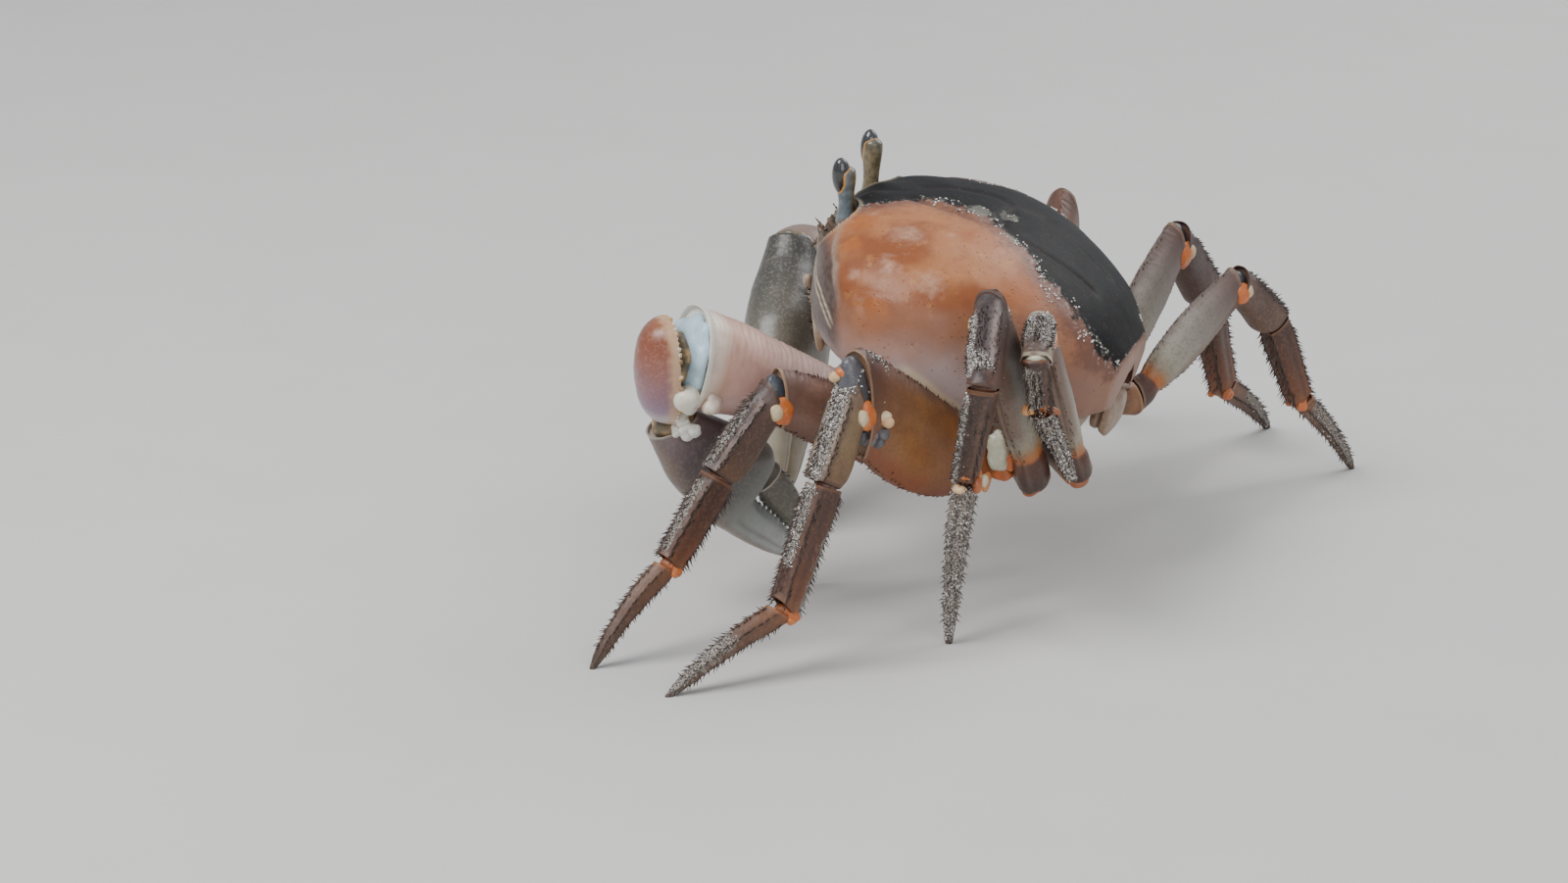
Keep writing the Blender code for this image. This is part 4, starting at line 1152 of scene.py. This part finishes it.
def clawJoints(extras, pose, elbow, elbowPlane, outer, wrist, wristPlane, rim):
    # soft skin of the elbow and wrist, a ball inside an open elbow, and warts along its border
    half, space, gape = pose["merusHalf"][0], pose["space"], pose["gape"]
    radius = pose["carpusHalf"][1]
    across = elbowPlane.cross(outer)
    gaping = space > 1
    ball(extras, elbow + elbowPlane * 0.3 + outer * 0.6, elbowPlane * (half * gape * 0.7 + 1.1),
         outer * half * 0.9, across * half * 0.78, 0.0 if gaping else 0.3, 4)
    if gaping:
        # the ball inside the open elbow is dark: partly painted shade of the gap
        middle = elbow + elbowPlane * (1.2 + space) - outer * half * 0.1
        ball(extras, middle, elbowPlane * (1.6 + space * 0.5), outer * radius * 0.86,
             across * radius * 0.8, 0.42, 4)
    for point in rim[::3]:
        size = 0.5 * dice.uniform(0.3, 1.3)
        axes = [elbowPlane * size * 1.1, outer * size, across * size * 1.2]
        ball(extras, point - (point - elbow).normalized() * 0.25, *axes, dice.uniform(0.46, 0.78), 2, 0.5)
    first = wristPlane.orthogonal().normalized()
    second = wristPlane.cross(first)
    # the wrist skin takes the same dark tone: partly painted shade of the gap
    ball(extras, wrist, wristPlane * 2.6, first * radius * 0.62, second * radius * 0.62, 0.42, 4, 0.12)


def makeClaw(word, pose, extras, cell):
    hip, hipEnd, elbow, carpus, wrist, tip = (
        standing(pose[key]) for key in ("hip", "hipEnd", "elbow", "carpus", "wrist", "tip"))
    gap = walk["gap"] / 2

    def finish(key, body, slot, part=None, place=0):
        nodeName = "claw_%s_%s" % (word, key)
        look = legLooks["hip"] if key == "hip" else armLooks["%s_%s" % (word, key)]
        piece(nodeName + "_shell", body, limbPaint(nodeName + "_paint", look), slot, nodeName)
        if part:
            growth["bristles"][word].append(growBristles(part, cell + place))

    upperArm, hipWay = (elbow - hipEnd).normalized(), (hipEnd - hip).normalized()
    hipPlane = (hipWay + upperArm).normalized()
    part = limbPart(hip, hipEnd, hipWay.cross(up).normalized(), armShapes["hip"])
    body = limbBody(part)
    openEnd(body, part, hipEnd - hipPlane * gap, hipPlane)
    finish("hip", body, "leg_upper", part)

    profile = [(share, *(narrow + (wide - narrow) * size
                         for narrow, wide in zip(arms["narrow"], pose["merusHalf"])))
               for share, size in arms["merusGrowth"]]
    shape = {**armShapes["merus"], "profile": profile}
    part = limbPart(hipEnd, elbow, upperArm.cross(up).normalized(), shape)
    turned = pose["elbowTurn"]
    elbowPlane = (upperArm * (1 - turned) + (wrist - elbow).normalized() * turned).normalized()
    body = limbBody(part)
    openEnd(body, part, hipEnd + hipPlane * gap, -hipPlane)
    openEnd(body, part, elbow - elbowPlane * gap, elbowPlane, (1.5, 0.9))
    finish("merus", body, "claw", part, 1)

    outer = Vector(pose["openWay"])
    outer = (outer - elbowPlane * outer.dot(elbowPlane)).normalized()
    reach = (wrist - carpus).normalized()
    wristPlane = (reach + (tip - wrist).normalized()).normalized()
    body = carpusBody(pose, carpus, reach)
    pivot = elbow + elbowPlane * (gap + pose["space"]) - outer * pose["carpusHalf"][1]
    facing = (outer * pose["gape"] - elbowPlane).normalized()
    border = layer(body, "ridge")
    for corner in body.verts:
        corner[border] = rise(3.2, 1.4, (pivot - corner.co).dot(facing) + 0.8 * lump(corner.co, 1.6))
    rim = trim(body, pivot, facing, 0.5, 1.2)
    trim(body, wrist - wristPlane * gap, wristPlane, 0.5, 1.0)
    finish("carpus", body, "claw")

    along = (tip - wrist).normalized()
    broad = Vector(pose["palmFace"]).cross(along).normalized()
    halfBreadth, halfThickness = pose["palmHalf"]
    ends = {"palm": (wrist + wristPlane * gap, -wristPlane, (0.6, 0.2)),
            "finger": (wrist.lerp(tip, arms["fingerStart"]), -along, (0.6, 0.3))}
    for key, end in ends.items():
        profile = [(share, wide * halfBreadth, thick * halfThickness, shift * halfBreadth)
                   for share, wide, thick, shift in arms[key]]
        part = limbPart(wrist, tip, along.cross(broad), {**armShapes[key], "profile": profile})
        body = limbBody(part)
        openEnd(body, part, *end)
        finish(key, body, "claw" if key == "palm" else "claw_finger", part, 2)
    clawJoints(extras, pose, elbow, elbowPlane, outer, wrist, wristPlane, rim)


# knobs beside the claw joints: place, size, tone
knobs = {
    "left": (((73.9, -52.4, 58.2), 3.7, 0.82), ((73.4, -55.2, 58.7), 2.8, 0.64),
             ((70.9, -55.6, 53.4), 2.1, 0.86), ((71.2, -53.4, 49.8), 2.3, 0.93),
             ((71.0, -50.8, 49.8), 1.7, 0.95), ((70.8, -55.8, 49.2), 1.8, 0.88),
             ((70.9, -54.2, 51.8), 1.7, 0.9), ((71.6, -46.6, 57.6), 2.9, 0.7)),
    "right": (((-52, -51.5, 46.5), 3.0, 0.8), ((-36, -53, 62), 2.6, 0.84)),
}


def makeClaws():
    paint = jointPaint("claw_joint_paint", jointLooks["claw"])
    for i, (word, pose) in enumerate(arms["poses"].items()):
        extras = bmesh.new()
        layer(extras, "tone")
        makeClaw(word, pose, extras, 50 + 4 * i)
        for place, size, tone in knobs[word]:
            ball(extras, standing(place), *Matrix.Diagonal((size, size * 0.85, size)), tone, 3, 0.6)
        faceOut(extras)
        piece("claw_%s_joints" % word, extras, paint, "claw", crease=80)


makeClaws()
print("claws made")


# underside of the body
under = {
    # place along the body, half width, bottom
    "thorax": ((-30, 15, -18), (-20, 18, -25), (0, 21, -28), (20, 20, -28), (34, 14, -24), (38, 10, -19)),
    "roundness": 0.6, "roof": 0.8,
    "seams": (-24, -14, -3.5, 7, 17, 26), "seamDepth": 0.9,
    # place along the body, half width
    "abdomen": ((-8, 4), (-6, 4.6), (4, 6.5), (20, 9), (34, 10.5)),
    "abdomenSeams": (-1.5, 5.5, 12.5, 19.5, 26.5), "gap": 0.7, "thickness": 2.6,
    # place, half width, top
    "abdomen_base": ((38.5, 11, -9), (41, 11.5, -9.5), (44.5, 10, -11.5)), "baseThickness": 9,
}


def plankBody(first, last, ringOf, around, rings, cap):
    # a closed body along the crab; ringOf(place) gives the middle, half width, half height, powers and
    # a function for the lift and seam of a point
    def ringAt(way):
        place = first + (last - first) * way
        closing = closingAt(way, cap)
        level, halfWidth, halfHeight, powers, seamsOf = ringOf(place)

        def corner(turn):
            angle = math.tau * turn
            x = power(math.cos(angle), powers[0]) * halfWidth
            z = power(math.sin(angle), powers[1]) * halfHeight
            lift, seam = seamsOf(x, z)
            point = Vector((x * (closing + 0.35 * (1 - closing)), place, level + z * closing))
            out = Vector((x / halfWidth, 0, z / halfHeight)).normalized()
            return onBody(point + out * (lift + 0.12 * lump(point, 5))), (seam,)
        return corner
    return tube(around, rings, ringAt, ("lip",))


def thoraxRing(place):
    halfWidth, bottom = between(under["thorax"], place)
    top = between(shell["sections"], place)[3] + shell["rimDepth"] - under["roof"]
    seam = max(hump(place, at, 0.7) for at in under["seams"])

    def seamsOf(x, z):
        middle = hump(x, 0, 1.1) * rise(-2, -6, z)
        depth = max(seam * rise(3, 7, abs(x)), middle * 0.9)
        return -under["seamDepth"] * depth, depth * 0.8
    halfHeight = (top - bottom) / 2
    powers = (under["roundness"], under["roundness"])
    return (top + bottom) / 2, halfWidth, halfHeight, powers, seamsOf


def abdomenRing(place):
    halfWidth = between(under["abdomen"], place)[0]
    half = under["thickness"] / 2
    level = between(under["thorax"], place)[1] - under["gap"] - half
    seam = max(hump(place, at, 0.45) for at in under["abdomenSeams"])

    def seamsOf(x, z):
        keel = 0.45 * hump(x, 0, halfWidth * 0.45) * rise(0, -0.5, z)
        return keel - 0.6 * seam, seam * 0.9
    return level, halfWidth, half, (0.55, 0.8), seamsOf


def baseRing(place):
    halfWidth, top = between(under["abdomen_base"], place)
    half = under["baseThickness"] / 2
    seam = hump(place, 41.5, 0.5)
    return top - half, halfWidth, half, (0.6, 0.6), lambda x, z: (-0.7 * seam, seam)


def undersidePaint(name, light, dark, edge):
    paint = Paint(name, {"Coat Weight": 0.12})
    mottle = paint.grain(6, 3, 0.6)
    fine = paint.grain(0.7, 2, 0.6)
    colour = paint.mix(paint.rise(0.35, 0.65, mottle), dark, light)
    colour = paint.mix(paint.mark("lip") * 0.8, colour, edge)
    pores = paint.rise(0.28, 0.12, paint.cells(1.6))
    colour = paint.mix(pores * 0.35, colour, edge)
    return paint.finish(colour, 0.42 + (fine - 0.5) * 0.2, fine * 0.6 + mottle, 0.08)


# the ring at each place, squares around and along, rounded share of the ends, light, dark and edge colours
undersides = {
    "thorax": (thoraxRing, 96, 130, 0.05, (196, 176, 148), (168, 138, 108), (104, 74, 52)),
    "abdomen": (abdomenRing, 64, 110, 0.06, (206, 188, 162), (176, 148, 118), (116, 84, 60)),
    "abdomen_base": (baseRing, 72, 36, 0.2, (150, 126, 104), (120, 94, 72), (84, 62, 48)),
}


def makeUnderside():
    for name, (ringOf, around, along, cap, *shades) in undersides.items():
        body = plankBody(under[name][0][0], under[name][-1][0], ringOf, around, along, cap)
        piece(name + "_shell", body, undersidePaint(name + "_paint", *shades), "underside", name)


makeUnderside()
print("underside made")


# eyes
eyes = {
    "base": (10, -35.4, 14.5), "tips": {"left": (11.5, -39.4, 30), "right": (11.5, -39.4, 32.4)},
    # share of the length, half breadth, half thickness
    "shape": {"profile": ((-0.16, 2.6, 2.6), (0.02, 2.9, 2.7), (0.16, 2.35, 2.3), (0.34, 2.05, 2.05),
                          (0.55, 2.35, 2.3), (0.72, 2.75, 2.6), (0.84, 2.7, 2.5), (0.93, 2.2, 2.0)),
              "powers": (1, 1), "around": 56, "rings": 96, "cap": 0.09, "ridges": (), "rough": 0.08},
    # middle of the cornea as a share of the length, half sizes, how far it stands out and which way
    "place": 0.765, "half": (2.45, 2.5, 4.9), "out": 1.0, "way": (0.45, -0.88, 0),
    "hue": (0.85, -0.53, 0),        # the side where the stalk is grey
}


def stalkPaint():
    paint = Paint("eyestalk_paint", {"Coat Weight": 0.3, "Coat Roughness": 0.2})
    mottle, along = paint.grain(2.2, 3, 0.6), paint.mark("along")
    patches = paint.rise(0.35, 0.65, mottle)
    grey = paint.mix(patches, (86, 98, 104), (116, 128, 132))
    ochre = paint.mix(patches, (92, 80, 58), (124, 110, 82))
    colour = paint.cover(
        ochre,
        (paint.rise(-0.15, 0.35, paint.mark("edge") + (mottle - 0.5) * 0.3), grey),
        (paint.rise(0.14, -0.06, along + (mottle - 0.5) * 0.12) * 0.85, (120, 76, 44)),
        (paint.rise(0.72, 0.9, along) * 0.6, (70, 74, 70)),
        (paint.mark("ridge"), (206, 140, 52)))
    return paint.finish(colour, 0.34, mottle, 0.05)


def corneaPaint():
    paint = Paint("cornea_paint", {"Coat Weight": 1.0, "Coat Roughness": 0.06, "Specular IOR Level": 0.6})
    facets = paint.cells(0.28, "DISTANCE_TO_EDGE")
    colour = paint.mix(paint.rise(0.4, 0.7, paint.grain(3, 2)), (20, 22, 24), (38, 42, 46))
    colour = paint.mix(paint.rise(0.12, 0.0, facets) * 0.4, colour, (56, 60, 62))
    return paint.finish(colour, 0.16, paint.rise(0.0, 0.1, facets), 0.02)


def makeEyes():
    stalk, cornea = stalkPaint(), corneaPaint()
    turned = bodyMatrix.to_3x3()
    for side, word in ((1, "left"), (-1, "right")):
        base, tip = onBody(mirrored(side, eyes["base"])), onBody(mirrored(side, eyes["tips"][word]))
        along = (tip - base).normalized()
        way = turned @ mirrored(side, eyes["way"])
        way = (way - along * way.dot(along)).normalized()
        third = along.cross(way)
        hue = turned @ mirrored(side, eyes["hue"])
        centre = base.lerp(tip, eyes["place"]) + way * eyes["out"]
        wide, deep, high = eyes["half"]
        body = limbBody(limbPart(base, tip, third * -side, eyes["shape"]))
        ring, edge = layer(body, "ridge"), layer(body, "edge")
        for corner in body.verts:
            local = corner.co - centre
            far = Vector((local.dot(way) / deep, local.dot(third) / wide, local.dot(along) / high)).length
            corner[ring] = rise(1.10, 1.03, far)
            away = corner.co - (base + along * (corner.co - base).dot(along))
            corner[edge] = away.normalized().dot(hue)
        piece("eyestalk_%s_shell" % word, body, stalk, "eyestalk", "eyestalk_" + word)
        eye = bmesh.new()
        ball(eye, centre, way * deep, third * wide, along * high, 0, 5, 0)
        faceOut(eye)
        piece("cornea_" + word, eye, cornea, "cornea", "eye_" + word)


makeEyes()
print("eyes made")


# mouth and feelers
mouth = {
    "lean": 22, "centre": (-36.5, -11.5),    # of the plates: degrees, and their place along and up
    # pieces of the left jaw foot: place beside the middle line, outward and along the plate, half
    # sizes, turn about the plate's own face, roundness
    "plates": (((6.2, 0.1, -4.2), (4.9, 1.9, 5.6), -4, 0.5), ((6.8, 0.6, 4.6), (4.7, 1.8, 3.9), -10, 0.55),
               ((12.4, -0.2, -1.4), (1.3, 1.5, 8.6), -8, 0.75), ((10.8, 1.5, 8.4), (1.5, 1.4, 2.2), 25, 0.85),
               ((8.9, 2.3, 7.8), (1.2, 1.2, 2.2), 65, 0.85), ((7.3, 2.4, 6.2), (0.9, 0.9, 2.2), 150, 0.85)),
    "mandible": ((2.7, -1.6, 6.6), (2.7, 1.6, 3.0), 0, 0.7),
    # feelers: start, end, radius at the start; share of the length, breadth and thickness in radii
    "feelers": (((7.2, -40.8, 9.3), (7.6, -44.4, 11.8), 0.5), ((4.2, -41.6, 6.6), (3.2, -44.6, 2.6), 1.15),
                ((7.6, -41.2, 8.0), (7.4, -43.2, 10.2), 1.2)),
    "feelerTaper": ((0, 1, 1), (0.25, 0.85, 0.8), (0.7, 0.45, 0.45), (1.0, 0.2, 0.2)),
    "feelerShape": {"powers": (1, 1), "around": 18, "rings": 60, "ridges": (), "rugae": (0.08, 0.9, 0, 400),
                    "rough": 0.03},
    # hairs along the plates' inner edges: count, length, radius
    "hairs": (150, 2.6, 0.13),
}


def mouthPoint(side, out, upward, mirror):
    lean = math.radians(mouth["lean"])
    y, z = mouth["centre"]
    return onBody((mirror * side, y - out * math.cos(lean) - upward * math.sin(lean),
                   z + upward * math.cos(lean) - out * math.sin(lean)))


def pebble(body, place, half, turn, roundness, mirror):
    # a rounded plate of the mouth
    twist = Matrix.Rotation(math.radians(turn), 3, "Y")
    for corner in bmesh.ops.create_icosphere(body, subdivisions=5, radius=1)["verts"]:
        x, y, z = corner.co
        groove = 0.3 * hump(x, 0.35, 0.14) * rise(0, 0.4, y)
        spot = twist @ Vector((power(x, roundness) * half[0], (power(y, roundness) - groove) * half[1],
                               power(z, roundness) * half[2]))
        spot *= 1 + 0.05 * lump(spot + Vector(place), 2.5)
        spot += Vector(place)
        corner.co = mouthPoint(*spot, mirror)


def mouthHairs(mirror):
    body = growthBody()
    count, length, radius = mouth["hairs"]
    for _ in range(count):
        upward = dice.uniform(-8, 8)
        edge = dice.choice((1.6, 2.0, 11.2))
        bend = (-1.2 if edge < 5 else 1.4) * dice.uniform(0.4, 1.2)
        root, aim = mouthPoint(edge, 1.2, upward, mirror), mouthPoint(edge + bend, 2.2, upward + 0.8, mirror)
        size = length * dice.uniform(0.5, 1)
        made = hair(body, root, (aim - root).normalized(), size, radius, radius * 0.3)
        patch(body, made, 70 if mirror > 0 else 71, edge * 20, (upward + 8) / 16)
    return body


def makeMouth():
    plate = undersidePaint("mouth_paint", (176, 156, 136), (140, 112, 90), (84, 60, 46))
    tooth = plainPaint("mandible_paint", (206, 190, 158), (232, 224, 200), 3, 0.3, 0.3)
    feeler = plainPaint("feeler_paint", (70, 56, 46), (112, 90, 70), 1.2, 0.45)
    jaws, feelers = bmesh.new(), []
    for side, word in ((1, "left"), (-1, "right")):
        body = bmesh.new()
        layer(body, "lip")
        for place, half, turn, roundness in mouth["plates"]:
            pebble(body, place, half, turn, roundness, side)
        faceOut(body)
        piece("maxilliped_%s_shell" % word, body, plate, "underside", "maxilliped_" + word)
        pebble(jaws, *mouth["mandible"], side)
        growth["bristles"][word].append(mouthHairs(side))
        for *ends, radius in mouth["feelers"]:
            profile = [(share, wide * radius, deep * radius) for share, wide, deep in mouth["feelerTaper"]]
            start, end = (onBody(mirrored(side, point)) for point in ends)
            part = limbPart(start, end, Vector((0.3, 0.2, 1)).normalized(),
                            {**mouth["feelerShape"], "profile": profile})
            feelers.append(limbBody(part))
    faceOut(jaws)
    piece("mandibles", jaws, tooth, "underside")
    piece("feelers", joined(feelers), feeler, "eyestalk")


makeMouth()
print("mouth made")


# joint skins, bristles and sand as whole pieces
def saddleSand():
    body = growthBody()
    for _ in range(shell["grains"]):
        place, out = dice.choice(shellSpots)
        if place.y < -12 or lump(place, 5) < -0.1:
            continue
        size = 0.3 * dice.uniform(0.5, 1.2)
        near = Vector([dice.uniform(-0.6, 0.6) for _ in range(3)])
        near -= out * near.dot(out)
        made = grain(body, place + near + out * size * 0.4, size, 0.25 + 0.75 * dice.random())
        patch(body, made, 80, place.x * 3, 0.5 + place.y / 100)
    return body


def makeGrowth():
    skin = jointPaint("joint_paint", jointLooks["leg"])
    hairs = plainPaint("bristle_paint", (34, 26, 24), (70, 52, 42), 3, 0.5)
    sand = sandPaint()
    growth["sand"]["left"].append(saddleSand())
    for word, body in joints.items():
        faceOut(body)
        piece("leg_joints_" + word, body, skin, "leg_lower", crease=80)
        piece("bristles_" + word, joined(growth["bristles"][word]), hairs, "leg_lower")
        piece("sand_" + word, joined(growth["sand"][word]), sand, "leg_lower", crease=60)


makeGrowth()
print("bristles and sand made")


# stage
view = {
    "camera": (1.0985, 0.2999, 0.3981), "aim": (0.0131, -0.0528, 0.0273), "lens": 105,
    "floor": 3.0,
    # place, watts, size, in metres
    "lights": (((0.55, -0.55, 1.15), 17, 0.7), ((1.3, 0.9, 0.75), 9, 1.1), ((-0.9, 0.5, 0.9), 9, 0.9)),
    "lightAim": (0, 0, 0.05),
    "sky": (0.80, 0.85, 0.92), "skyStrength": 0.55,
}


def aimAt(thing, place, aim):
    thing.location = place
    thing.rotation_euler = (Vector(aim) - Vector(place)).to_track_quat("-Z", "Y").to_euler()


def makeStage():
    body = bmesh.new()
    bmesh.ops.create_grid(body, x_segments=2, y_segments=2, size=view["floor"])
    mesh = bpy.data.meshes.new("floor")
    body.to_mesh(mesh)
    body.free()
    paint = Paint("floor_paint", {"Specular IOR Level": 0.2})
    grey = paint.mix(paint.grain(40, 3, 0.6), (204, 202, 198), (210, 208, 205))
    mesh.materials.append(paint.finish(grey, 0.7))
    linked("floor", mesh)
    for i, (place, power, size) in enumerate(view["lights"]):
        lamp = bpy.data.lights.new("light%d" % i, "AREA")
        lamp.energy = power
        lamp.size = size
        aimAt(linked("light%d" % i, lamp), place, view["lightAim"])
    world = bpy.data.worlds.new("studio")
    world.use_nodes = True
    background = world.node_tree.nodes["Background"]
    background.inputs["Color"].default_value = (*view["sky"], 1)
    background.inputs["Strength"].default_value = view["skyStrength"]
    bpy.context.scene.world = world
    eye = bpy.data.cameras.new("camera")
    eye.lens = view["lens"]
    camera = linked("camera", eye)
    aimAt(camera, view["camera"], view["aim"])
    bpy.context.scene.camera = camera


makeStage()
print("stage made")
